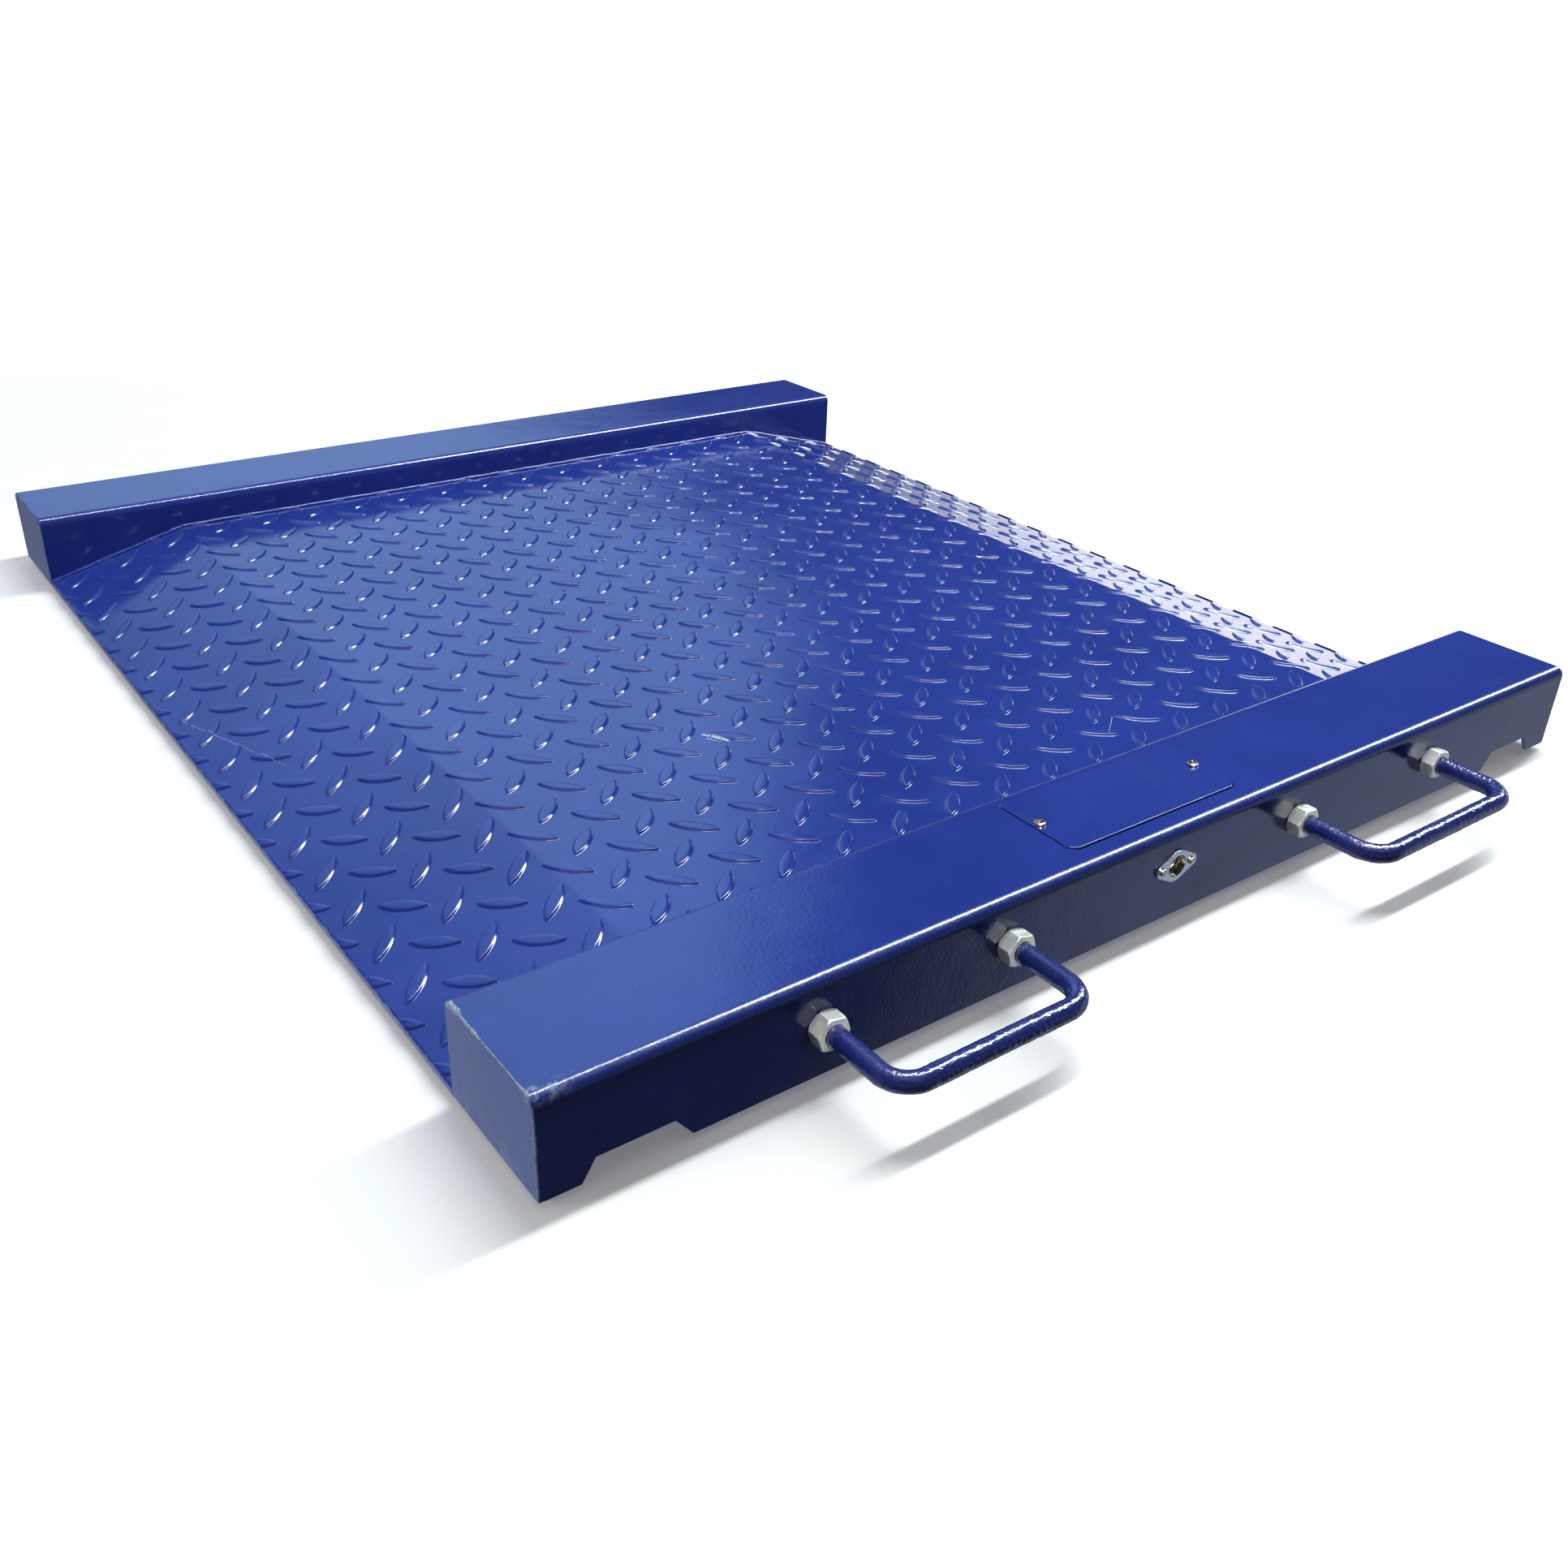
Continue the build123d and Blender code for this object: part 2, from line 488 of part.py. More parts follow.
# ------------------------------------------------------------------ wheels
WY = YF + WHEEL_OUT - WHEEL_R
brackets, axles, axle_nuts = [], [], []
for name, s in (("left", -1), ("right", 1)):
    x = s * WHEEL_X
    inner = WHEEL_W / 2 + 1.0
    br = bx(x - inner - 3, x + inner + 3, YF, YF + 3, WHEEL_CZ - 20, WHEEL_CZ + 28)
    for e in (-1, 1):
        ex0, ex1 = span(x + e * inner, x + e * (inner + 3))
        ear = bx(ex0, ex1, YF + 3, WY, WHEEL_CZ - 12, WHEEL_CZ + 12) + cx(ex0, ex1, WY, WHEEL_CZ, 12)
        ear += prism_x([(YF + 3, WHEEL_CZ + 28), (YF + 3, WHEEL_CZ + 10), (WY, WHEEL_CZ + 10), (WY, WHEEL_CZ + 12)],
                       ex0, ex1)
        ear += prism_x([(YF + 3, WHEEL_CZ - 20), (YF + 3, WHEEL_CZ - 10), (WY, WHEEL_CZ - 10), (WY, WHEEL_CZ - 12)],
                       ex0, ex1)
        br += ear
    br -= cx(x - 30, x + 30, WY, WHEEL_CZ, AXLE_R + 0.05)
    brackets.append(br)
    side = inner + 3
    ax = cx(x - side, x + side + 9, WY, WHEEL_CZ, AXLE_R)
    ax += hexx(x - side - 5.3, x - side, WY, WHEEL_CZ, 13.0)
    axles.append(ax)
    axle_nuts.append(hexx(x + side, x + side + 6.5, WY, WHEEL_CZ, 13.0, 15) - cx(x, x + side + 12, WY, WHEEL_CZ, AXLE_R + 0.03))
    hub = cx(x - 10, x + 10, WY, WHEEL_CZ, 9.0) + cx(x - 3, x + 3, WY, WHEEL_CZ, 19.0)
    hub += cx(x - 9, x + 9, WY, WHEEL_CZ, 19.0) - cx(x - 12, x + 12, WY, WHEEL_CZ, 16.0)
    hub -= cx(x - 12, x + 12, WY, WHEEL_CZ, AXLE_R + 0.05)
    save("wheel_hub_%s" % name, hub)
    tyre = cx(x - 10, x + 10, WY, WHEEL_CZ, WHEEL_R)
    tyre = fillet([e for e in tyre.edges().filter_by(GeomType.CIRCLE)], 3.0)
    tyre -= cx(x - 12, x + 12, WY, WHEEL_CZ, 19.0)
    save("wheel_tyre_%s" % name, tyre)
save("wheel_brackets", brackets)
save("wheel_axles", axles)
save("wheel_axle_nuts", axle_nuts)
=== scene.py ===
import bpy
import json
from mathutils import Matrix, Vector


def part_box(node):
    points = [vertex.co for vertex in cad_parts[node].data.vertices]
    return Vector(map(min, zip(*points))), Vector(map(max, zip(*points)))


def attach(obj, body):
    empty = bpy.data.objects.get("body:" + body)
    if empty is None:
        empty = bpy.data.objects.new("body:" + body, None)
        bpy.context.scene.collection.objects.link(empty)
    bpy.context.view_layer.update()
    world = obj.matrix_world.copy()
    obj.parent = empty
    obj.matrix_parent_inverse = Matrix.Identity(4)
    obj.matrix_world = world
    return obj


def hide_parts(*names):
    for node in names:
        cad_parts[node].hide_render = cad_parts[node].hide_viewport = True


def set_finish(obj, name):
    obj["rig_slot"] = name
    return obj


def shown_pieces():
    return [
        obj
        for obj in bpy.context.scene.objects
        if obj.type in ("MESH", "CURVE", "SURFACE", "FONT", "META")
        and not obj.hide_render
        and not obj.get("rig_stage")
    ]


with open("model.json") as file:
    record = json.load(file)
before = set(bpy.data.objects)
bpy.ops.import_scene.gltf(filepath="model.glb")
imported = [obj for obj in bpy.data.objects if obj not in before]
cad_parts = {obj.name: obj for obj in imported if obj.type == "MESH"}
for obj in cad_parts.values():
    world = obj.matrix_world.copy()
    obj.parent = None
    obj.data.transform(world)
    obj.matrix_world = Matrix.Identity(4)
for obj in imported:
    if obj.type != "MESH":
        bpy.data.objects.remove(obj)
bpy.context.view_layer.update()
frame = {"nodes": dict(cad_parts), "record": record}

import bpy
import bmesh
import json
import math
import numpy as np
from mathutils import Matrix, Vector, noise

MM = 0.001
NODES = frame["nodes"]
RECORD = frame["record"]
BODY = {n: b for b, ns in RECORD["behaviour"]["bodies"].items() for n in ns}
SLOT = {s["node"]: s["material_slot"] for s in RECORD["subparts"]}

# the frame's own dimensions, in millimetres
YN, YF, YNI, YFI = -564.5, 587.5, -458.5, 481.5
GAP, TOP, DECK_TOP, DECK_T, TIP = 6.0, 78.0, 46.5, 5.0, 11.2
HX, SEAM, CREASE = 500.0, 496.0, 362.5
HANDLE_Z, SOCKET_Z = 44.0, 49.0
LEGS = {"handle_left": (-310.0, -158.0), "handle_right": (308.0, 137.0)}


def n3(x, y, z, seed=0.0):
    return noise.noise(Vector((x + seed * 13.7, y - seed * 7.1, z + seed * 3.3)))


# ---------------------------------------------------------------- materials
class Mat:
    def __init__(self, name, colour=(0.5, 0.5, 0.5), **sockets):
        self.m = bpy.data.materials.new(name)
        self.m.use_nodes = True
        self.nt = self.m.node_tree
        self.b = self.nt.nodes["Principled BSDF"]
        self.b.inputs["Base Color"].default_value = (*colour, 1)
        for k, v in sockets.items():
            self.b.inputs[k.replace("_", " ")].default_value = v
        self.P = self.nt.nodes.new("ShaderNodeTexCoord").outputs["Object"]

    def set(self, node, key, val):
        if val is None:
            return
        s = node.inputs[key]
        if isinstance(val, bpy.types.NodeSocket):
            self.nt.links.new(val, s)
        elif s.type == "RGBA" and len(val) == 3:
            s.default_value = (*val, 1)
        else:
            s.default_value = val

    def at(self, scale=(1, 1, 1), offset=(0, 0, 0), turn=(0, 0, 0), vec=None):
        n = self.nt.nodes.new("ShaderNodeMapping")
        self.nt.links.new(vec or self.P, n.inputs["Vector"])
        n.inputs["Scale"].default_value = scale
        n.inputs["Location"].default_value = offset
        n.inputs["Rotation"].default_value = turn
        return n.outputs[0]

    def noise(self, scale, detail=2.0, rough=0.5, vec=None, distort=0.0):
        n = self.nt.nodes.new("ShaderNodeTexNoise")
        self.nt.links.new(vec or self.P, n.inputs["Vector"])
        n.inputs["Scale"].default_value = scale
        n.inputs["Detail"].default_value = detail
        n.inputs["Roughness"].default_value = rough
        n.inputs["Distortion"].default_value = distort
        return n.outputs["Fac"]

    def voronoi(self, scale, feature="F1", vec=None, rand=1.0):
        n = self.nt.nodes.new("ShaderNodeTexVoronoi")
        n.feature = feature
        self.nt.links.new(vec or self.P, n.inputs["Vector"])
        n.inputs["Scale"].default_value = scale
        n.inputs["Randomness"].default_value = rand
        return n.outputs["Distance"]

    def wave(self, scale, distort=0.0, direction="X", vec=None, detail=2.0):
        n = self.nt.nodes.new("ShaderNodeTexWave")
        n.bands_direction = direction
        self.nt.links.new(vec or self.P, n.inputs["Vector"])
        n.inputs["Scale"].default_value = scale
        n.inputs["Distortion"].default_value = distort
        n.inputs["Detail"].default_value = detail
        return n.outputs["Fac"]

    def attr(self, name):
        n = self.nt.nodes.new("ShaderNodeAttribute")
        n.attribute_name = name
        return n.outputs["Fac"]

    def xyz(self):
        n = self.nt.nodes.new("ShaderNodeSeparateXYZ")
        self.nt.links.new(self.P, n.inputs[0])
        return n.outputs[0], n.outputs[1], n.outputs[2]

    def up(self):
        g = self.nt.nodes.new("ShaderNodeNewGeometry")
        n = self.nt.nodes.new("ShaderNodeSeparateXYZ")
        self.nt.links.new(g.outputs["Normal"], n.inputs[0])
        return n.outputs[2]

    def rng(self, val, a, b, lo=0.0, hi=1.0, smooth=True):
        n = self.nt.nodes.new("ShaderNodeMapRange")
        n.interpolation_type = "SMOOTHSTEP" if smooth else "LINEAR"
        n.clamp = True
        self.set(n, 0, val)
        for i, v in enumerate((a, b, lo, hi)):
            n.inputs[i + 1].default_value = v
        return n.outputs[0]

    def op(self, what, a, b=None, c=None):
        n = self.nt.nodes.new("ShaderNodeMath")
        n.operation = what
        self.set(n, 0, a)
        self.set(n, 1, b)
        self.set(n, 2, c)
        return n.outputs[0]

    def mix(self, fac, a, b):
        n = self.nt.nodes.new("ShaderNodeMix")
        n.data_type = "RGBA"
        self.set(n, 0, fac)
        self.set(n, 6, a)
        self.set(n, 7, b)
        return n.outputs[2]

    def bump(self, height, distance, strength=1.0, normal=None):
        n = self.nt.nodes.new("ShaderNodeBump")
        n.inputs["Strength"].default_value = strength
        n.inputs["Distance"].default_value = distance
        self.nt.links.new(height, n.inputs["Height"])
        if normal is not None:
            self.nt.links.new(normal, n.inputs["Normal"])
        return n.outputs[0]

    def colour(self, s):
        self.nt.links.new(s, self.b.inputs["Base Color"])
        return self

    def rough(self, s):
        self.nt.links.new(s, self.b.inputs["Roughness"])
        return self

    def normal(self, s, coat=False):
        self.nt.links.new(s, self.b.inputs["Normal"])
        if coat:
            self.nt.links.new(s, self.b.inputs["Coat Normal"])
        return self


def enamel(name, base=(0.020, 0.043, 0.290), rough=(0.17, 0.30), coat=0.4, peel=1.0, waves=1.0,
           dirt=0.15, edge_wear_and_highlight=0.0, chips=0.0, extra=None):
    """Brushed and sprayed gloss enamel on steel: runs of thicker and thinner paint, orange peel, nibs, scuffs, and pale
    broken edges that are worn paint and, on the access cover, a painted edge highlight.
    """
    m = Mat(name, base, Specular_IOR_Level=0.5, Coat_Weight=coat, Coat_Roughness=0.07, Coat_IOR=1.5)
    big = m.noise(7.0, 3.0, 0.55)
    mid = m.noise(38.0, 4.0, 0.6)
    fine = m.noise(210.0, 3.0, 0.6)
    lighter = tuple(min(1, c * 1.08 + 0.001) for c in base)
    darker = tuple(c * 0.91 for c in base)
    c = m.mix(m.rng(big, 0.30, 0.72), darker, lighter)
    c = m.mix(m.op("MULTIPLY", m.rng(mid, 0.42, 0.70), 0.45), c, tuple(x * 1.12 for x in base))
    c = m.mix(m.op("MULTIPLY", m.rng(fine, 0.52, 0.75), 0.25), c, tuple(x * 0.8 for x in base))
    r = m.rng(m.op("ADD", m.op("MULTIPLY", big, 0.5), m.op("MULTIPLY", mid, 0.5)), 0.35, 0.65, rough[0], rough[1])
    if dirt:
        # a thin grey film gathered in patches, drier than the paint
        film = m.op("MULTIPLY", m.rng(m.noise(16.0, 5.0, 0.65, m.at(offset=(3, 5, 1))), 0.50, 0.74), dirt)
        c = m.mix(film, c, (0.12, 0.14, 0.22))
        r = m.op("ADD", r, m.op("MULTIPLY", film, 0.35))
    if chips:
        # tiny lighter nibs and dust specks caught in the paint
        v = m.voronoi(170.0)
        speck = m.op("MULTIPLY", m.rng(v, 0.10, 0.05), m.rng(m.noise(26.0, 2.0, 0.5), 0.52, 0.62))
        c = m.mix(m.op("MULTIPLY", speck, chips), c, (0.30, 0.36, 0.58))
    # pale broken edges: worn paint; on the access cover, where the amount is high, a painted edge highlight along its
    # fillets
    if edge_wear_and_highlight:
        e = m.attr("edge")
        broken = m.rng(m.noise(85.0, 5.0, 0.7, m.at(offset=(1.7, 0.3, 9.1))), 0.47, 0.60)
        k = m.op("MULTIPLY", m.op("MULTIPLY", m.rng(e, 0.25, 0.9), broken), edge_wear_and_highlight)
        c = m.mix(k, c, (0.30, 0.42, 0.55))
        r = m.op("ADD", r, m.op("MULTIPLY", k, 0.3))
    if extra:
        c, r = extra(m, c, r)
    h1 = m.noise(11.0, 2.0, 0.5, m.at(offset=(0.2, 0.9, 0.4)))
    h2 = m.noise(75.0, 2.0, 0.5)
    h3 = m.noise(360.0, 2.0, 0.55)
    n = m.bump(h1, 0.0022 * waves, 1.0)
    n = m.bump(h2, 0.00022 * waves, 1.0, n)
    n = m.bump(h3, 0.000055 * peel, 1.0, n)
    m.colour(c).rough(r).normal(n, coat=coat > 0)
    return m.m


def metal(name, colour, rough=(0.2, 0.35), tint=None, grain=0.3, spots=0.3, brushed=None, metallic=1.0):
    """Plated or machined metal: mottled plating, a little tarnish in patches, fine tool marks."""
    m = Mat(name, colour, Metallic=metallic)
    a = m.noise(120.0, 4.0, 0.6)
    b = m.noise(700.0, 3.0, 0.6)
    dark = tuple(c * 0.72 for c in colour)
    c = m.mix(m.rng(a, 0.35, 0.70), dark, colour)
    if tint:
        t = m.rng(m.noise(95.0, 3.0, 0.5, m.at(offset=(4, 2, 8))), 0.45, 0.68)
        c = m.mix(m.op("MULTIPLY", t, 0.75), c, tint)
    s = m.op("MULTIPLY", m.rng(m.voronoi(900.0), 0.18, 0.04), spots)
    c = m.mix(s, c, tuple(x * 0.35 for x in colour))
    r = m.rng(m.op("ADD", m.op("MULTIPLY", a, 0.5), m.op("MULTIPLY", b, 0.5)), 0.35, 0.65, rough[0], rough[1])
    h = m.noise(1500.0, 2.0, 0.6)
    if brushed:
        h = m.noise(260.0, 3.0, 0.7, m.at(scale=brushed))
    n = m.bump(m.noise(160.0, 2.0, 0.5), 0.00012, 0.6)
    n = m.bump(h, 0.00003 * grain / 0.3, 1.0, n)
    # every broken edge painted lighter all along: a painted edge highlight
    e = m.attr("edge")
    c = m.mix(m.op("MULTIPLY", e, 0.5), c, tuple(min(1, x * 1.15) for x in colour))
    m.colour(c).rough(r).normal(n)
    return m.m


def plastic(name, colour, rough=(0.35, 0.5), grain=0.00004, dust=0.12, scale=420.0, **sockets):
    m = Mat(name, colour, **sockets)
    a = m.noise(60.0, 3.0, 0.55)
    b = m.noise(scale, 3.0, 0.6)
    c = m.mix(m.rng(a, 0.35, 0.7), tuple(x * 0.8 for x in colour), tuple(min(1, x * 1.15) for x in colour))
    film = m.op("MULTIPLY", m.rng(m.noise(45.0, 5.0, 0.7, m.at(offset=(2, 7, 1))), 0.5, 0.75), dust)
    c = m.mix(film, c, (0.32, 0.31, 0.29))
    # every broken edge painted lighter all along: a painted edge highlight
    e = m.attr("edge")
    c = m.mix(m.op("MULTIPLY", e, 0.25), c, tuple(min(1, x * 1.5 + 0.01) for x in colour))
    r = m.rng(b, 0.35, 0.65, rough[0], rough[1])
    n = m.bump(b, grain, 1.0)
    m.colour(c).rough(r).normal(n)
    return m.m


def beam_marks(m, c, r):
    """Bare and scuffed spots of the two side beams, by place on the part, with painted highlights along the cover
    opening's rim and the left start of the outer fold, and painted shade under the outer fold.
    """
    x, y, z = m.xyz()
    # knocked corners: the end plates' top edges and the front upright edges, chipped to a pale undercoat
    rag = m.noise(150.0, 5.0, 0.75, m.at(offset=(0.3, 1.2, 4.0)))
    rag2 = m.noise(420.0, 3.0, 0.7, m.at(offset=(2.3, 0.2, 1.0)))
    patch = m.noise(17.0, 2.0, 0.5, m.at(offset=(0.4, 3.3, 0.9)))
    ax = m.op("ABSOLUTE", x)
    ontop = m.rng(z, 0.0770, 0.0778)
    onend = m.rng(ax, 0.4990, 0.4997)
    # how far the chipping reaches in from the edge: 1 to 5 mm, more at the two corners of the left end
    reach = m.op("ADD", m.op("MULTIPLY", m.rng(patch, 0.42, 0.70), 0.0022), 0.0006)
    front = m.rng(y, -0.540, -0.5600)
    back = m.op("MULTIPLY", m.rng(y, -0.482, -0.4640), m.rng(y, -0.30, -0.40))
    left = m.rng(x, -0.40, -0.45)
    reach = m.op("ADD", reach, m.op("MULTIPLY", m.op("MULTIPLY", m.op("ADD", front, m.op("MULTIPLY", back, 1.6)), 0.0015), left))
    nearb = m.rng(y, -0.30, -0.40)
    reach = m.op("MULTIPLY", reach, m.op("ADD", m.op("MULTIPLY", m.op("MULTIPLY", left, nearb), 0.65), 0.35))
    depth_end = m.op("DIVIDE", m.op("SUBTRACT", 0.078, z), reach)
    depth_top = m.op("DIVIDE", m.op("SUBTRACT", 0.5, ax), reach)
    wob = m.op("MULTIPLY", m.op("SUBTRACT", rag, 0.5), 3.4)
    k1 = m.op("MULTIPLY", m.rng(m.op("ADD", depth_end, wob), 1.05, 0.80), onend)
    k2 = m.op("MULTIPLY", m.rng(m.op("ADD", m.op("MULTIPLY", depth_top, 1.4), wob), 1.0, 0.7), ontop)
    k = m.op("MAXIMUM", k1, k2)
    # a thin pale line down the upright front corner of the left end plate
    upr = m.op("MULTIPLY", m.rng(m.op("ADD", m.op("ADD", m.op("SUBTRACT", y, -0.5645), m.op("SUBTRACT", 0.5, ax)),
                                      m.op("MULTIPLY", m.op("SUBTRACT", rag, 0.5), 0.003)), 0.0016, 0.0007), left)
    k = m.op("MAXIMUM", k, m.op("MULTIPLY", upr, 0.75))
    k = m.op("MULTIPLY", k, m.rng(rag2, 0.34, 0.50, 0.35, 1.0))
    c = m.mix(m.op("MULTIPLY", k, 0.82), c, (0.44, 0.54, 0.62))
    # a smear of chips and painted highlight that runs on along the start of the outer fold
    e = m.attr("edge")
    chips_and_fold_highlight = m.op("MULTIPLY", m.op("MULTIPLY", m.rng(y, -0.552, -0.5570), m.rng(z, 0.070, 0.0735)), m.rng(x, -0.470, -0.495))
    chips_and_fold_highlight = m.op("MULTIPLY", chips_and_fold_highlight, m.rng(rag, 0.50, 0.62))
    c = m.mix(m.op("MULTIPLY", chips_and_fold_highlight, 0.6), c, (0.42, 0.55, 0.66))
    # painted highlight: the cover opening's rim shows as a pale broken line
    rim = m.op("MULTIPLY", m.op("MULTIPLY", e, ontop), m.op("MULTIPLY", m.rng(ax, 0.092, 0.089), m.rng(y, -0.455, -0.470)))
    rim = m.op("MULTIPLY", rim, m.rng(rag, 0.36, 0.50))
    c = m.mix(m.op("MULTIPLY", rim, 0.7), c, (0.24, 0.40, 0.62))
    k = m.op("MAXIMUM", k, chips_and_fold_highlight)
    # dust low down on the left end plate, by the notch
    dust = m.op("MULTIPLY", m.op("MULTIPLY", m.rng(x, -0.4985, -0.4995), m.rng(z, 0.030, 0.008)), m.rng(m.noise(60.0, 5.0, 0.75), 0.47, 0.64))
    c = m.mix(m.op("MULTIPLY", dust, 0.5), c, (0.25, 0.32, 0.45))
    r = m.op("ADD", r, m.op("MULTIPLY", m.op("MAXIMUM", k, dust), 0.3))
    # cloudy paint on the outer face in drifting patches, and painted shade: a darker band under the fold
    face = m.rng(y, -0.5600, -0.5640)
    cloud = m.rng(m.noise(9.0, 3.0, 0.55, m.at(scale=(1.0, 1.0, 2.2), offset=(5, 2, 0.4))), 0.40, 0.66)
    cloud_and_painted_shade = m.op("MULTIPLY", face, m.op("MAXIMUM", m.op("MULTIPLY", cloud, 0.75), m.rng(z, 0.056, 0.070)))
    c = m.mix(m.op("MULTIPLY", cloud_and_painted_shade, 0.55), c, (0.008, 0.014, 0.085))
    r = m.op("ADD", r, m.op("MULTIPLY", m.op("MULTIPLY", face, cloud), 0.10))
    # the outer folds' paint is drier and grainy
    fold = m.op("MULTIPLY", m.rng(z, 0.0695, 0.0715), m.op("MAXIMUM", m.rng(y, -0.5560, -0.5575), m.rng(y, 0.5790, 0.5805)))
    grain = m.rng(m.noise(520.0, 3.0, 0.7, m.at(offset=(1.1, 0.7, 3.0))), 0.36, 0.62)
    r = m.op("ADD", r, m.op("MULTIPLY", fold, m.op("ADD", m.op("MULTIPLY", grain, 0.13), 0.06)))
    # grease round each bar nut
    for hx in (*LEGS["handle_left"], *LEGS["handle_right"]):
        dx = m.op("SUBTRACT", x, hx * MM)
        dz = m.op("SUBTRACT", z, HANDLE_Z * MM)
        d = m.op("SQRT", m.op("ADD", m.op("MULTIPLY", dx, dx), m.op("MULTIPLY", dz, dz)))
        ring = m.op("MULTIPLY", m.rng(m.op("ADD", d, m.op("MULTIPLY", m.noise(90.0, 3.0, 0.6), 0.012)), 0.032, 0.018), face)
        c = m.mix(m.op("MULTIPLY", ring, 0.5), c, (0.006, 0.009, 0.05))
    return c, r


def deck_marks(m, c, r):
    """Wear of the tread plate: lozenge crests polished paler, one white scuff, two long scratches, grey lips."""
    x, y, z = m.xyz()
    crest = m.attr("crest")
    pol = m.op("MULTIPLY", m.rng(m.noise(30.0, 4.0, 0.6, m.at(offset=(8, 1, 2))), 0.48, 0.66), crest)
    c = m.mix(m.op("MULTIPLY", pol, 0.22), c, (0.075, 0.11, 0.40))
    e = m.attr("edge")
    rag = m.rng(m.noise(70.0, 5.0, 0.75, m.at(offset=(5.3, 1.2, 4.0))), 0.44, 0.60)
    lip = m.op("MULTIPLY", m.rng(e, 0.3, 0.9), rag)
    c = m.mix(m.op("MULTIPLY", lip, 0.55), c, (0.22, 0.34, 0.52))
    for px, py, ang, half, wide, amount in SCUFFS:
        ca, sa = math.cos(ang), math.sin(ang)
        dx = m.op("SUBTRACT", x, px * MM)
        dy = m.op("SUBTRACT", y, py * MM)
        u = m.op("ABSOLUTE", m.op("ADD", m.op("MULTIPLY", dx, ca), m.op("MULTIPLY", dy, sa)))
        v = m.op("ABSOLUTE", m.op("SUBTRACT", m.op("MULTIPLY", dy, ca), m.op("MULTIPLY", dx, sa)))
        k = m.op("MULTIPLY", m.rng(u, half * MM, half * 0.7 * MM), m.rng(v, wide * MM, wide * 0.4 * MM))
        k = m.op("MULTIPLY", k, m.rng(m.noise(300.0, 4.0, 0.7), 0.38, 0.52))
        c = m.mix(m.op("MULTIPLY", k, amount), c, (0.62, 0.68, 0.80))
        r = m.op("ADD", r, m.op("MULTIPLY", k, 0.25))
    return c, r


# where the deck's marks lie: x, y, direction, half length, half width, strength
SCUFFS = [(-159.5, -226.4, -1.062, 14.0, 1.9, 0.95), (-163.5, -229.0, -1.10, 7.0, 0.9, 0.6), (128.9, -384.3, 0.662, 19.1, 0.55, 0.5),
          (149.0, -382.1, -1.086, 10.7, 0.55, 0.5), (-467.1, 18.8, -1.300, 82.7, 0.45, 0.4)]

MATS = {}


def make_materials():
    blue = (0.020, 0.043, 0.290)
    M = MATS
    M["blue_enamel_beam"] = enamel("enamel_beam", blue, (0.09, 0.15), 0.4, 1.9, 0.3, 0.06, 0.35, 0.35, beam_marks)
    M["blue_enamel_deck"] = enamel("enamel_deck", blue, (0.09, 0.14), 0.35, 1.2, 0.3, 0.06, 0.0, 0.25, deck_marks)
    # the cover's pale broken edges are mostly a painted edge highlight along its fillets
    M["blue_enamel_cover"] = enamel("enamel_cover", blue, (0.10, 0.16), 0.35, 1.6, 0.3, 0.06, 0.9, 0.3)
    M["blue_enamel_bar"] = enamel("enamel_bar", (0.020, 0.031, 0.205), (0.13, 0.24), 0.6, 9.0, 0.7, 0.08, 0.0, 0.5)
    M["blue_enamel_bracket"] = enamel("enamel_bracket", (0.020, 0.030, 0.25), (0.2, 0.34), 0.3, 1.4, 0.8, 0.2, 0.4, 0.4)
    M["blue_enamel_underside"] = enamel("enamel_underside", (0.018, 0.026, 0.20), (0.28, 0.48), 0.15, 1.6, 1.0, 0.35, 0.3, 0.5)
    M["blue_enamel_inner"] = enamel("enamel_inner", (0.018, 0.027, 0.21), (0.28, 0.46), 0.15, 1.6, 1.0, 0.35, 0.3, 0.5)
    M["zinc_plate"] = metal("zinc_plate", (0.86, 0.90, 0.88), (0.28, 0.44), (0.74, 0.84, 0.58), 0.3, 0.2, None, 0.5)
    M["yellow_zinc"] = metal("yellow_zinc", (0.88, 0.83, 0.68), (0.12, 0.26), (0.82, 0.72, 0.58), 0.3, 0.2)
    M["bright_nickel"] = metal("bright_nickel", (0.88, 0.87, 0.82), (0.14, 0.28), None, 0.2, 0.15)
    M["black_moulding"] = plastic("black_moulding", (0.012, 0.012, 0.013), (0.32, 0.5))
    M["contact_brass"] = metal("contact_brass", (0.78, 0.62, 0.30), (0.18, 0.32), None, 0.2, 0.2)
    M["cable_jacket"] = plastic("cable_jacket", (0.016, 0.016, 0.018), (0.38, 0.55), 0.00006, 0.2)
    M["cell_steel"] = metal("cell_steel", (0.66, 0.65, 0.60), (0.24, 0.40), None, 0.4, 0.3, (1, 26, 26))
    M["tray_steel"] = metal("tray_steel", (0.60, 0.62, 0.63), (0.28, 0.46), (0.52, 0.54, 0.58), 0.5, 0.4)
    M["board_green"] = board_material()
    M["terminal_green"] = plastic("terminal_green", (0.045, 0.30, 0.085), (0.3, 0.45))
    M["pot_blue"] = plastic("pot_blue", (0.03, 0.11, 0.42), (0.28, 0.4))
    M["gasket_rubber"] = plastic("gasket_rubber", (0.016, 0.016, 0.016), (0.7, 0.9), 0.00025, 0.25, 900.0)
    M["foot_steel"] = metal("foot_steel", (0.60, 0.61, 0.60), (0.30, 0.46), (0.50, 0.50, 0.42), 0.5, 0.5)
    M["stud_steel"] = metal("stud_steel", (0.70, 0.71, 0.70), (0.20, 0.36), (0.62, 0.60, 0.46), 0.3, 0.4)
    M["hub_nylon"] = plastic("hub_nylon", (0.62, 0.60, 0.54), (0.35, 0.5), 0.00005, 0.35, 500.0, Subsurface_Weight=0.08)
    M["wheel_rubber"] = plastic("wheel_rubber", (0.020, 0.020, 0.021), (0.55, 0.8), 0.00012, 0.45, 600.0)


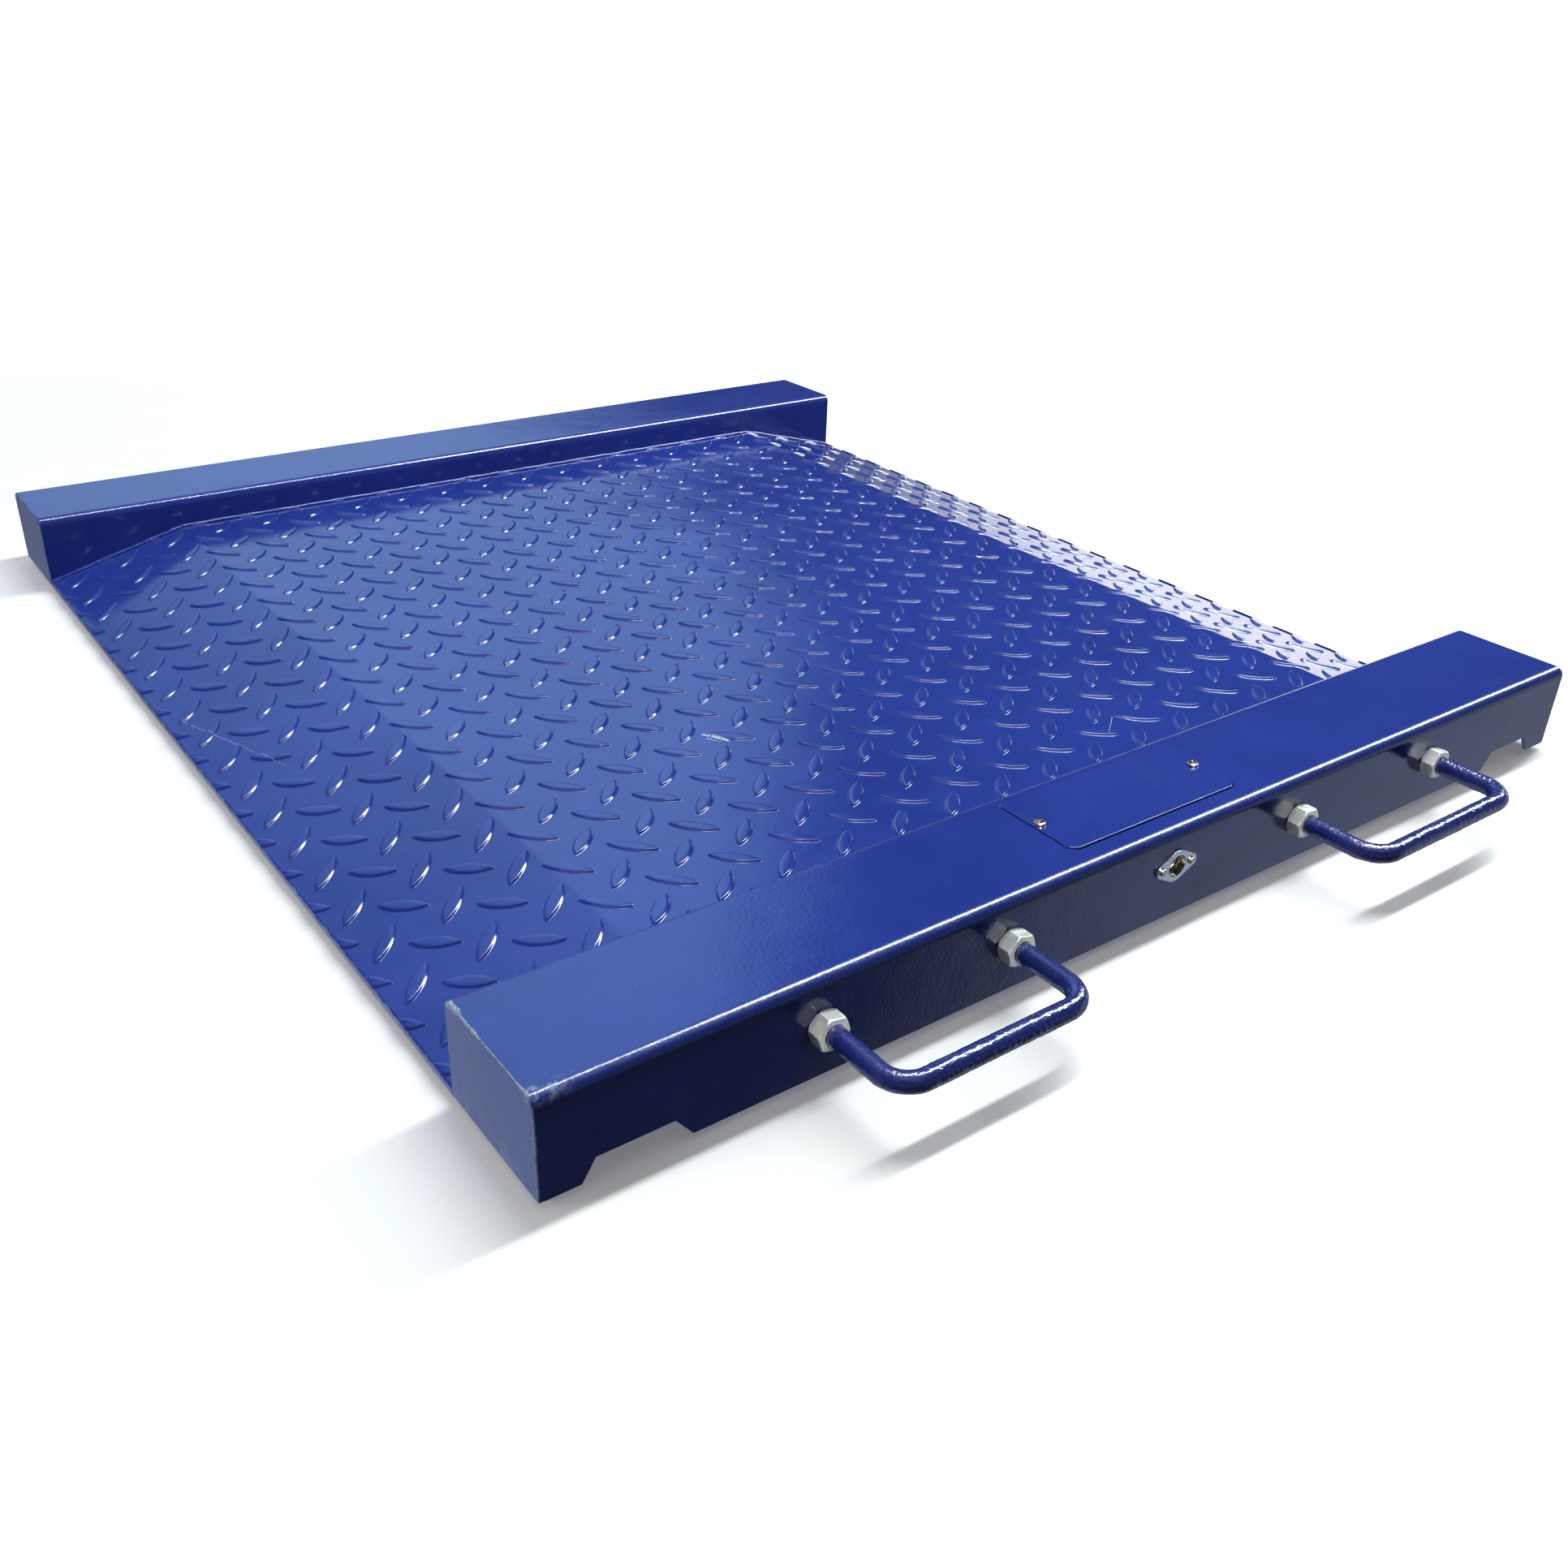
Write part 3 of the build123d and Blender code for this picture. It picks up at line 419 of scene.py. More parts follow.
def board_material():
    m = Mat("board_green", (0.01, 0.12, 0.045), Coat_Weight=0.5, Coat_Roughness=0.1)
    m1 = m.wave(95.0, 0.0, "X")
    m2 = m.wave(120.0, 0.0, "Y")
    cell = m.rng(m.noise(55.0, 0.0, 0.5), 0.49, 0.51)
    t = m.mix(cell, m.mix(m.rng(m1, 0.72, 0.80), (0, 0, 0), (1, 1, 1)), m.mix(m.rng(m2, 0.72, 0.80), (0, 0, 0), (1, 1, 1)))
    c = m.mix(t, (0.008, 0.095, 0.036), (0.016, 0.165, 0.062))
    pads = m.rng(m.voronoi(230.0), 0.16, 0.12)
    c = m.mix(m.op("MULTIPLY", pads, 0.7), c, (0.55, 0.56, 0.55))
    n = m.bump(t, 0.00004, 0.8)
    n = m.bump(m.noise(500.0), 0.00002, 1.0, n)
    m.colour(c).rough(m.rng(m.noise(80.0), 0.3, 0.7, 0.22, 0.4)).normal(n)
    return m.m


# ----------------------------------------------------------------- geometry
def put(name, mesh, body, mat, slot=None, replaces=()):
    o = bpy.data.objects.new(name, mesh)
    bpy.context.scene.collection.objects.link(o)
    mesh.materials.clear()
    mesh.materials.append(mat)
    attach(o, body)
    if slot:
        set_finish(o, slot)
    if replaces:
        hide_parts(*replaces)
    return o


def weighted(o, sharp=38.0):
    me = o.data
    bm = bmesh.new()
    bm.from_mesh(me)
    for f in bm.faces:
        f.smooth = True
    for e in bm.edges:
        e.smooth = not (len(e.link_faces) == 2 and e.calc_face_angle(0) > math.radians(sharp))
    bm.to_mesh(me)
    bm.free()
    w = o.modifiers.new("normals", "WEIGHTED_NORMAL")
    w.keep_sharp = True
    w.weight = 50
    return o


def refine(node, width=0.5, segs=2, angle=28.0, skip=None, shift=None, minlen=0.0, mat=None, name=None):
    """A copy of a CAD node with its sharp edges broken, marked where the break is (attribute edge)."""
    bm = bmesh.new()
    bm.from_mesh(NODES[node].data)
    for lay in list(bm.loops.layers.float_vector.values()):
        bm.loops.layers.float_vector.remove(lay)
    bmesh.ops.remove_doubles(bm, verts=bm.verts, dist=2e-6)
    bmesh.ops.dissolve_limit(bm, angle_limit=math.radians(0.5), verts=bm.verts, edges=bm.edges,
                             use_dissolve_boundaries=False)
    bm.normal_update()
    lim = math.radians(angle)
    es = [e for e in bm.edges if len(e.link_faces) == 2 and e.calc_face_angle(0) > lim
          and e.calc_length() > minlen * MM and not (skip and skip(e))]
    lay = bm.verts.layers.float.new("edge")
    if es and width > 0:
        res = bmesh.ops.bevel(bm, geom=es, offset=width * MM, offset_type="OFFSET", segments=segs, profile=0.5,
                              affect="EDGES", clamp_overlap=False, loop_slide=True)
        new = set(res["faces"])
        for v in res["verts"]:
            if v.is_valid and all(f in new for f in v.link_faces):
                v[lay] = 1.0
    if shift:
        for v in bm.verts:
            v.co = shift(v.co)
    me = bpy.data.meshes.new(name or node + "_fin")
    bm.to_mesh(me)
    bm.free()
    o = put(name or node + "_fin", me, BODY[node], mat or MATS[SLOT[node]], SLOT[node], (node,))
    return weighted(o)


def mesh_from(name, verts, faces, attrs=None):
    me = bpy.data.meshes.new(name)
    me.from_pydata([tuple(v) for v in verts], [], [tuple(f) for f in faces])
    for key, vals in (attrs or {}).items():
        a = me.attributes.new(key, "FLOAT", "POINT")
        a.data.foreach_set("value", np.asarray(vals, np.float32))
    me.polygons.foreach_set("use_smooth", [True] * len(me.polygons))
    me.update()
    return me


# the deck's top line: flat, a soft fold, the ramp
TH = math.atan2(DECK_TOP - TIP, HX - CREASE)
FR = 14.0
FT = FR * math.tan(TH / 2)
S1 = CREASE - FT
S2 = S1 + FR * TH
SM = S2 + (HX - CREASE) / math.cos(TH) - FT


def deck_line(s):
    """(x, z, nx, nz) on the deck's top line at arc length s from the middle, in mm."""
    g, a = (1.0, s) if s >= 0 else (-1.0, -s)
    if a <= S1:
        x, z, nx, nz = a, DECK_TOP, 0.0, 1.0
    elif a <= S2:
        t = (a - S1) / FR
        nx, nz = math.sin(t), math.cos(t)
        x, z = S1 + FR * nx, DECK_TOP - FR + FR * nz
    else:
        nx, nz = math.sin(TH), math.cos(TH)
        d = a - S2
        x = S1 + FR * nx + d * nz
        z = DECK_TOP - FR + FR * nz - d * nx
    return g * x, z, g * nx, nz


def sag(s, y):
    """The rolled sheet isn't quite flat, and dips a little between its channels."""
    v = 0.55 * n3(s * 0.0065, y * 0.0065, 0.0, 1) + 0.16 * n3(s * 0.022, y * 0.022, 0.0, 2)
    edge = min(1.0, max(0.0, min(y - YNI, YFI - y) / 60.0))
    tip = min(1.0, max(0.0, (SM - abs(s)) / 30.0))
    return v * edge * tip


def deck_at(s, y, h=0.0):
    x, z, nx, nz = deck_line(s)
    h += sag(s, y)
    return ((x + nx * h) * MM, y * MM, (z + nz * h) * MM)


def build_deck():
    fine = [S1 - 6 + 1.2 * i for i in range(14)]
    ss = sorted(set([0.0] + [round(12.0 * i, 3) for i in range(1, 29)] + [344.0, 352.0] + [round(v, 3) for v in fine]
                    + [round(S2 + 8 + 11.6 * i, 3) for i in range(12) if S2 + 8 + 11.6 * i < SM - 6]
                    + [SM - 5.0, SM - 3.0, SM - 1.6, SM - 1.0]))
    ss = [-v for v in reversed(ss) if v > 0] + ss
    ys = list(np.linspace(YNI, YFI, 80))
    verts, edge = [], []
    tipr = [(SM - 0.55, 0.10), (SM - 0.2, 0.38), (SM, 0.95)]

    def ring(y):
        pts = []
        for s, d in [(-a, b) for a, b in reversed(tipr)]:
            p = deck_at(s, y, -d)
            pts.append((p, 1.0))
        for s in ss:
            pts.append((deck_at(s, y), 0.0))
        for s, d in tipr:
            pts.append((deck_at(s, y, -d), 1.0))
        pts.append(((HX * MM, y * MM, (GAP + 0.6) * MM), 0.6))
        pts.append(((HX - 0.6) * MM, ) and (((HX - 0.6) * MM, y * MM, GAP * MM), 0.6))
        pts.append((((HX - 6) * MM), ) and (((HX - 6) * MM, y * MM, (GAP + 6 * math.tan(TH)) * MM), 0.0))
        for xx in (430.0, 362.0, 320.0, 160.0, 0.0, -160.0, -320.0, -362.0, -430.0):
            a = abs(xx)
            z = DECK_TOP - DECK_T if a <= 362 else GAP + (HX - a) * (DECK_TOP - DECK_T - GAP) / (HX - 362.0)
            pts.append(((xx * MM, y * MM, z * MM), 0.0))
        pts.append(((-(HX - 6) * MM, y * MM, (GAP + 6 * math.tan(TH)) * MM), 0.0))
        pts.append(((-(HX - 0.6) * MM, y * MM, GAP * MM), 0.6))
        pts.append(((-HX * MM, y * MM, (GAP + 0.6) * MM), 0.6))
        return pts

    n = None
    for y in ys:
        r = ring(y)
        n = len(r)
        for p, e in r:
            verts.append(p)
            edge.append(e)
    faces = []
    for j in range(len(ys) - 1):
        for i in range(n):
            a, b = j * n + i, j * n + (i + 1) % n
            faces.append((a, b, b + n, a + n))
    faces.append(tuple(reversed(range(n))))
    faces.append(tuple(range((len(ys) - 1) * n, len(ys) * n)))
    crest = [0.0] * len(verts)

    # the raised lozenges: one 1.5 mm mesa each with a rolled flank, two crossed sets
    A, B, A2, B2, H = 20.0, 6.4, 17.3, 4.0, 1.55
    NR = 28
    cosn = [math.cos(2 * math.pi * k / NR) for k in range(NR)]
    sinn = [math.sin(2 * math.pi * k / NR) for k in range(NR)]
    lens = [math.copysign(abs(v) ** 1.6, v) for v in sinn]
    rings = [(t, H * (3 * t * t - 2 * t ** 3) - 0.05 * (1 - t)) for t in (0.0, 0.14, 0.3, 0.5, 0.7, 0.86, 1.0)]
    q = 1 / math.sqrt(2)
    P = 51.2
    for kind in (0, 1):
        for i in range(-6, 22):
            for j in range(-8, 20):
                cs = -352.7 + P * (i + 0.5 * kind)
                cy = 330.97 - P * (j + 0.5 * kind)
                if abs(cs) > SM + 14.5 or cy < YNI - 14.5 or cy > YFI + 14.5:
                    continue
                dx, dy = (q, -q) if kind == 0 else (q, q)
                tw = 0.05 * n3(cs * 0.3, cy * 0.3, 5.0)
                dx, dy = dx * math.cos(tw) - dy * math.sin(tw), dx * math.sin(tw) + dy * math.cos(tw)
                hk = 1 + 0.10 * n3(cs * 0.05, cy * 0.05, 9.0)
                base = len(verts)

                def vert(u, v, h, cr):
                    s = cs + u * dx - v * dy
                    y = cy + u * dy + v * dx
                    s = max(-SM, min(SM, s))
                    y = max(YNI, min(YFI, y))
                    if abs(s) > SM - 0.9:
                        h -= 0.5 * (abs(s) - SM + 0.9)
                    verts.append(deck_at(s, y, h))
                    crest.append(cr)
                    edge.append(0.0)

                for t, h in rings:
                    aa, bb = A + (A2 - A) * t, B + (B2 - B) * t
                    for k in range(NR):
                        vert(aa * cosn[k], bb * lens[k], h * hk, max(0.0, t - 0.4) / 0.6)
                for f, up in ((0.72, 0.05), (0.36, 0.08)):
                    for k in range(NR):
                        vert(A2 * f * cosn[k], B2 * f * lens[k], H * hk + up, 1.0)
                vert(0.0, 0.0, H * hk + 0.09, 1.0)
                nr = len(rings) + 2
                for r in range(nr - 1):
                    for k in range(NR):
                        a, b = base + r * NR + k, base + r * NR + (k + 1) % NR
                        faces.append((a, b, b + NR, a + NR))
                top = base + nr * NR
                for k in range(NR):
                    faces.append((base + (nr - 1) * NR + k, base + (nr - 1) * NR + (k + 1) % NR, top))
    me = mesh_from("tread_deck", verts, faces, {"edge": edge, "crest": crest})
    bm = bmesh.new()
    bm.from_mesh(me)
    bmesh.ops.recalc_face_normals(bm, faces=[f for f in bm.faces if len(f.verts) > 4 or f.index < (len(ys) - 1) * n])
    bm.faces.ensure_lookup_table()
    flip = [f for f in bm.faces if f.index >= (len(ys) - 1) * n + 2 and f.normal.z < -1e-6]
    bmesh.ops.reverse_faces(bm, faces=flip)
    for e in bm.edges:
        if len(e.link_faces) == 2 and e.calc_face_angle(0) > math.radians(58):
            e.smooth = False
    bm.to_mesh(me)
    bm.free()
    return put("tread_deck", me, "platform", MATS["blue_enamel_deck"], "blue_enamel_deck", ("deck_plate",))


def tube(name, pts, radius, n=12, caps=True, shape=None, up=(0, 0, 1)):
    """Rings along pts (mm) with a radius that shape(i, s, angle, dir) may change."""
    P = [Vector(p) for p in pts]
    L = [0.0]
    for a, b in zip(P, P[1:]):
        L.append(L[-1] + (b - a).length)
    verts, faces = [], []
    u = Vector(up)
    for i, p in enumerate(P):
        t = (P[min(i + 1, len(P) - 1)] - P[max(i - 1, 0)]).normalized()
        u = (u - t * u.dot(t)).normalized()
        w = t.cross(u)
        for k in range(n):
            a = 2 * math.pi * k / n
            d = u * math.cos(a) + w * math.sin(a)
            r = radius if shape is None else shape(i, L[i], a, d, p)
            verts.append((p + d * r) * MM)
    for i in range(len(P) - 1):
        for k in range(n):
            a, b = i * n + k, i * n + (k + 1) % n
            faces.append((a, a + n, b + n, b))
    if caps:
        faces.append(tuple(range(n)))
        faces.append(tuple(reversed(range((len(P) - 1) * n, len(P) * n))))
    me = mesh_from(name, verts, faces)
    bm = bmesh.new()
    bm.from_mesh(me)
    bmesh.ops.recalc_face_normals(bm, faces=bm.faces)
    bm.to_mesh(me)
    bm.free()
    return me


def line(a, b, step):
    a, b = Vector(a), Vector(b)
    n = max(2, int((b - a).length / step))
    return [tuple(a.lerp(b, i / n)) for i in range(n + 1)]


def bead(name, pts, r, mat, slot, body="platform", seed=1, pitch=2.6, n=8):
    """A hand-laid weld: stacked ripples, lumps, and places where it runs thin."""
    def shape(i, s, a, d, p):
        rip = 0.10 * math.sin(2 * math.pi * s / pitch + 0.9 * math.cos(a) + 1.5 * n3(s * 0.08, 0, 0, seed))
        lump = 0.30 * n3(s * 0.055, math.cos(a) * 0.4, 0, seed + 2) + 0.16 * n3(s * 0.21, math.cos(a), 0, seed + 4)
        return r * (1.0 + rip + lump)
    me = tube(name, pts, r, n, True, shape)
    return put(name, me, body, mat, slot)


def build_welds():
    mat = MATS["blue_enamel_deck"]
    for tag, y, g in (("near", YNI, 1), ("far", YFI, -1)):
        pts = []
        s = -SM + 1.5
        while s <= SM - 1.5:
            x, z, nx, nz = deck_line(s)
            wob = 0.35 * n3(s * 0.03, 7.0, 0, 6 if g > 0 else 8)
            pts.append((x, y + g * (0.5 + wob), z + 0.4 * nz))
            s += 0.85
        bead("deck_weld_" + tag, pts, 2.7, mat, "blue_enamel_deck", seed=11 if g > 0 else 17)
        pts = []
        for x in np.arange(-488.0, 488.1, 2.0):
            a = abs(x)
            z = 41.5 if a <= 362 else GAP + (HX - a) * (41.5 - GAP) / (HX - 362.0)
            pts.append((float(x), y + g * 0.6, z - 0.6))
        bead("deck_under_weld_" + tag, pts, 3.0, MATS["blue_enamel_underside"], "blue_enamel_underside",
             seed=21 if g > 0 else 27, pitch=7.0, n=6)
    # welds of the channels to the beams, underneath
    k = 0
    for y, g in ((YNI, 1), (YFI, -1)):
        for x in (-320, -160, 0, 160, 320):
            for e in (-1, 1):
                k += 1
                bead("channel_weld_%02d" % k, line((x + e * 20.2, y + g * 0.7, 13), (x + e * 20.2, y + g * 0.7, 37), 1.6), 2.3,
                     MATS["blue_enamel_underside"], "blue_enamel_underside", seed=30 + k, pitch=3.2, n=6)


def build_handles():
    for name, g, seed in (("handle_left", -1, 3.0), ("handle_right", 1, 9.0)):
        yo, yi = YN - 78 + 7, YN + 28
        R = 20.0
        xa, xb = LEGS[name]
        c1, c2 = xa - g * R, xb + g * R
        pts = []
        ys = [yi, yi - 0.7]
        y = yi - 1.4
        while y > YN - 9.5:
            ys.append(y)
            y -= 0.36
        while y > yo + R:
            ys.append(y)
            y -= 1.1
        pts += [(xa, v, HANDLE_Z) for v in ys]
        for i in range(0, 33):
            a = math.pi / 2 * i / 32
            pts.append((c1 + g * R * math.cos(a), yo + R - R * math.sin(a), HANDLE_Z))
        nb = int(abs(c1 - c2) / 1.1)
        pts += [(c1 + (c2 - c1) * i / nb, yo, HANDLE_Z) for i in range(1, nb)]
        for i in range(0, 33):
            a = math.pi / 2 * (1 - i / 32)
            pts.append((c2 - g * R * math.cos(a), yo + R - R * math.sin(a), HANDLE_Z))
        pts += [(xb, v, HANDLE_Z) for v in reversed(ys)]

        def shape(i, s, a, d, p):
            q = Vector(p) + d * 8
            if p[1] > YN - 10.5:
                ends = min(1.0, (yi - p[1]) / 1.5 * 0.5 + 0.5)
                t = (p[1] / 2.0 + g * a / (2 * math.pi)) % 1.0
                return (7.0 - 1.1 * abs(2 * t - 1)) * (0.86 + 0.14 * ends)
            r = 7.0 + 0.20 * n3(q.x * 0.11, q.y * 0.11, q.z * 0.11, seed)
            r += 0.22 * n3(q.x * 0.36, q.y * 0.36, q.z * 0.36, seed + 1)
            r += 0.10 * n3(q.x * 0.8, q.y * 0.8, q.z * 0.8, seed + 5)
            r += 0.5 * max(0.0, -d.z) ** 3 * max(0.0, 0.35 + n3(s * 0.11, 0, 0, seed + 2))
            return r
        me = tube(name + "_rod", pts, 7.0, 32, True, shape)
        put(name + "_rod", me, "platform", MATS["blue_enamel_bar"], "blue_enamel_bar", (name,))


def build_studs():
    for n in (1, 2, 3, 4):
        node = "foot_stud_%d" % n
        lo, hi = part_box(node)
        cx, cy = (lo.x + hi.x) / 2 / MM, (lo.y + hi.y) / 2 / MM
        # swivel flange and spanner flats from the CAD shape, cut off where the thread starts
        bm = bmesh.new()
        bm.from_mesh(NODES[node].data)
        bmesh.ops.remove_doubles(bm, verts=bm.verts, dist=2e-6)
        g = bmesh.ops.bisect_plane(bm, geom=bm.verts[:] + bm.edges[:] + bm.faces[:], plane_co=(0, 0, 0.0172),
                                   plane_no=(0, 0, 1), clear_outer=True)
        edges = [e for e in g["geom_cut"] if isinstance(e, bmesh.types.BMEdge)]
        bmesh.ops.edgeloop_fill(bm, edges=edges)
        bmesh.ops.dissolve_limit(bm, angle_limit=math.radians(0.5), verts=bm.verts, edges=bm.edges)
        es = [e for e in bm.edges if len(e.link_faces) == 2 and e.calc_face_angle(0) > 0.6]
        lay = bm.verts.layers.float.new("edge")
        res = bmesh.ops.bevel(bm, geom=es, offset=0.0004, offset_type="OFFSET", segments=2, profile=0.5, affect="EDGES",
                              clamp_overlap=False)
        me = bpy.data.meshes.new("stud_base_%d" % n)
        bm.to_mesh(me)
        bm.free()
        o = put("stud_base_%d" % n, me, "stud_%d" % n, MATS["stud_steel"], "stud_steel", (node,))
        weighted(o)
        zs = [17.0]
        while zs[-1] < 49.6:
            zs.append(zs[-1] + 0.29)
        pts = [(cx, cy, z) for z in zs]

        def shape(i, s, a, d, p):
            z = p[2]
            t = (z / 1.75 - a / (2 * math.pi)) % 1.0
            r = 5.98 - 1.0 * abs(2 * t - 1) ** 1.0
            if z > 48.6:
                r = min(r, 6.0 - (z - 48.6) * 1.1)
            if z < 18.2:
                r = min(r, 5.1)
            return r
        put("stud_thread_%d" % n, tube("stud_thread_%d" % n, pts, 6.0, 28, True, shape), "stud_%d" % n,
            MATS["stud_steel"], "stud_steel")


def lathe(name, profile, axis, centre, n=64, wobble=None):
    """Revolves profile [(distance along axis, radius)] round an axis through centre (mm)."""
    ax = {"x": Vector((1, 0, 0)), "y": Vector((0, 1, 0)), "z": Vector((0, 0, 1))}[axis]
    u = Vector((0, 0, 1)) if axis != "z" else Vector((1, 0, 0))
    w = ax.cross(u)
    c = Vector(centre)
    verts, faces = [], []
    m = len(profile)
    for k in range(n):
        a = 2 * math.pi * k / n
        d = u * math.cos(a) + w * math.sin(a)
        for t, r in profile:
            rr = r + (wobble(t, r, a) if wobble else 0.0)
            verts.append((c + ax * t + d * rr) * MM)
    for k in range(n):
        for i in range(m - 1):
            a, b = k * m + i, ((k + 1) % n) * m + i
            faces.append((a, b, b + 1, a + 1))
    closed = profile[0] != profile[-1]
    if closed:
        faces += [(k * m + m - 1, ((k + 1) % n) * m + m - 1, ((k + 1) % n) * m, k * m) for k in range(n)]
    me = mesh_from(name, verts, faces)
    bm = bmesh.new()
    bm.from_mesh(me)
    bmesh.ops.remove_doubles(bm, verts=bm.verts, dist=1e-7)
    bmesh.ops.recalc_face_normals(bm, faces=bm.faces)
    for e in bm.edges:
        e.smooth = not (len(e.link_faces) == 2 and e.calc_face_angle(0) > math.radians(40))
    bm.to_mesh(me)
    bm.free()
    return me


def build_wheels():
    wy, wz = 617.5, 31.0
    for tag, g in (("left", -1), ("right", 1)):
        x = g * 360.0
        prof = [(-10.0, 19.1), (-10.0, 21.8)]
        for i in range(0, 7):
            a = math.pi / 2 * i / 6
            prof.append((-7.2 - 2.8 * math.cos(a), 21.9 + 2.75 * math.sin(a)))
        for t in (-5, -3.4, -3.0, -2.6, 0, 2.6, 3.0, 3.4, 5):
            groove = 0.45 if abs(abs(t) - 3.0) < 0.1 else 0.0
            prof.append((t, 24.65 + 0.3 * (1 - (t / 7.2) ** 2) - groove))
        for i in range(0, 7):
            a = math.pi / 2 * (1 - i / 6)
            prof.append((7.2 + 2.8 * math.cos(a), 21.9 + 2.75 * math.sin(a)))
        prof += [(10.0, 21.8), (10.0, 19.1)]
        me = lathe("tyre_%s" % tag, prof, "x", (x, wy, wz), 96,
                   lambda t, r, a: 0.04 * n3(t * 0.4, a * 3, r, 5) if r > 22 else 0.0)
        put("tyre_%s" % tag, me, "wheel_" + tag, MATS["wheel_rubber"], "wheel_rubber", ("wheel_tyre_" + tag,))
        refine("wheel_hub_" + tag, 0.35, 2, 30)
        # moulded ribs of the hub, between boss and rim, on both faces
        bm = bmesh.new()
        for k in range(6):
            for e in (-1, 1):
                a = math.pi * 2 * k / 6 + 0.26
                vs = []
                for rr, ht, wd in ((8.6, 5.6, 1.5), (12.0, 4.6, 1.15), (16.3, 4.4, 1.3)):
                    for sw, zz in ((-1.3, 0.0), (-1.0, 1.0), (1.0, 1.0), (1.3, 0.0)):
                        px = x + e * (2.7 + ht * zz * 1.0)
                        py = wy + rr * math.cos(a) - sw * wd / 1.3 * math.sin(a)
                        pz = wz + rr * math.sin(a) + sw * wd / 1.3 * math.cos(a)
                        vs.append(bm.verts.new((px * MM, py * MM, pz * MM)))
                for s in range(2):
                    for t in range(3):
                        bm.faces.new((vs[s * 4 + t], vs[s * 4 + t + 1], vs[s * 4 + t + 5], vs[s * 4 + t + 4]))
                bm.faces.new((vs[0], vs[1], vs[2], vs[3]))
                bm.faces.new((vs[8], vs[9], vs[10], vs[11]))
                bm.faces.new((vs[0], vs[3], vs[7], vs[4]))
                bm.faces.new((vs[4], vs[7], vs[11], vs[8]))
        bmesh.ops.recalc_face_normals(bm, faces=bm.faces)
        bmesh.ops.bevel(bm, geom=[e for e in bm.edges if e.calc_face_angle(0) > 0.7], offset=0.00025,
                        offset_type="OFFSET", segments=2, profile=0.5, affect="EDGES", clamp_overlap=True)
        me = bpy.data.meshes.new("hub_ribs_" + tag)
        bm.to_mesh(me)
        bm.free()
        weighted(put("hub_ribs_" + tag, me, "wheel_" + tag, MATS["hub_nylon"], "hub_nylon"))


def build_inside():
    """Sealant over the gauge pockets of the four load cells."""
    seal = plastic("gauge_sealant", (0.50, 0.50, 0.47), (0.35, 0.55), 0.0001, 0.3, 300.0)
    for n in (1, 2, 3, 4):
        lo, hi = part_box("load_cell_%d" % n)
        c = (lo + hi) / 2 / MM
        g = 1 if n in (2, 4) else -1
        gx = g * (323.0 + 78.0)
        for e in (-1, 1):
            prof = [(0.0, 0.0), (0.0, 10.4)]
            prof += [(1.6 + 0.9 * (1 - (r / 10.4) ** 4) * -1, r) for r in (10.4, 9.6, 8, 6, 4, 2, 0.0)]
            prof = [(e * t * 1.0, r) for t, r in prof]
            me = lathe("cell_seal_%d_%s" % (n, "a" if e < 0 else "b"), prof, "y", (gx, c.y + e * 10.2, c.z), 40,
                       lambda t, r, a: 0.12 * n3(a * 2, r * 0.4, t) if r > 3 else 0.0)
            put(me.name, me, "platform", seal, "gasket_rubber")


SKIP_SEAM = lambda e: all(abs(abs(v.co.x) - SEAM * MM) < 2e-5 for v in e.verts)


def build_all():
    make_materials()
    for side in ("near", "far"):
        refine(side + "_beam", 0.6, 2, 28, SKIP_SEAM, minlen=9.0)
        for end in ("left", "right"):
            def knock(co, side=side):
                d = 0.00016 * (noise.noise(co * 150.0) + 0.5 * noise.noise(co * 420.0))
                return co + Vector((-d if co.x > 0 else d, 0, 0)) if abs(abs(co.x) - 0.5) < 0.0012 else co
            refine("end_plate_%s_%s" % (side, end), 1.1, 3, 28, SKIP_SEAM)
    build_deck()
    build_welds()
    build_handles()
    build_studs()
    build_wheels()
    build_inside()
    for node, w, s in (("handle_outer_nuts", 0.45, 2), ("handle_inner_nuts", 0.4, 2), ("handle_washers", 0.35, 2),
                       ("cross_members", 0.8, 2), ("ramp_gussets", 0.5, 1), ("access_cover", 0.35, 2),
                       ("cover_ledge", 0.4, 2), ("cover_screws", 0.12, 1), ("socket_shell", 0.2, 2),
                       ("socket_insert", 0.15, 1), ("socket_screws", 0.12, 1), ("socket_screw_nuts", 0.25, 2),
                       ("junction_tray", 0.3, 2), ("junction_board", 0.1, 1), ("terminal_blocks", 0.25, 2),
                       ("trim_pots", 0.25, 2), ("cable_glands", 0.3, 2), ("cell_bolts", 0.4, 2),
                       ("cell_spacers", 0.6, 2), ("foot_lock_nuts", 0.35, 2), ("wheel_brackets", 0.5, 2),
                       ("wheel_axles", 0.35, 2), ("wheel_axle_nuts", 0.35, 2), ("cover_gasket", 0.3, 1),
                       ("cable_conduit", 0.3, 1), ("socket_contacts", 0.1, 1), ("board_standoffs", 0.2, 1)):
        refine(node, w, s)
    for n in (1, 2, 3, 4):
        refine("foot_base_%d" % n, 0.4, 2)
        refine("load_cell_%d" % n, 0.5, 2)
    for n, o in NODES.items():
        if not o.hide_render:
            o.data.materials.clear()
            o.data.materials.append(MATS[SLOT[n]])


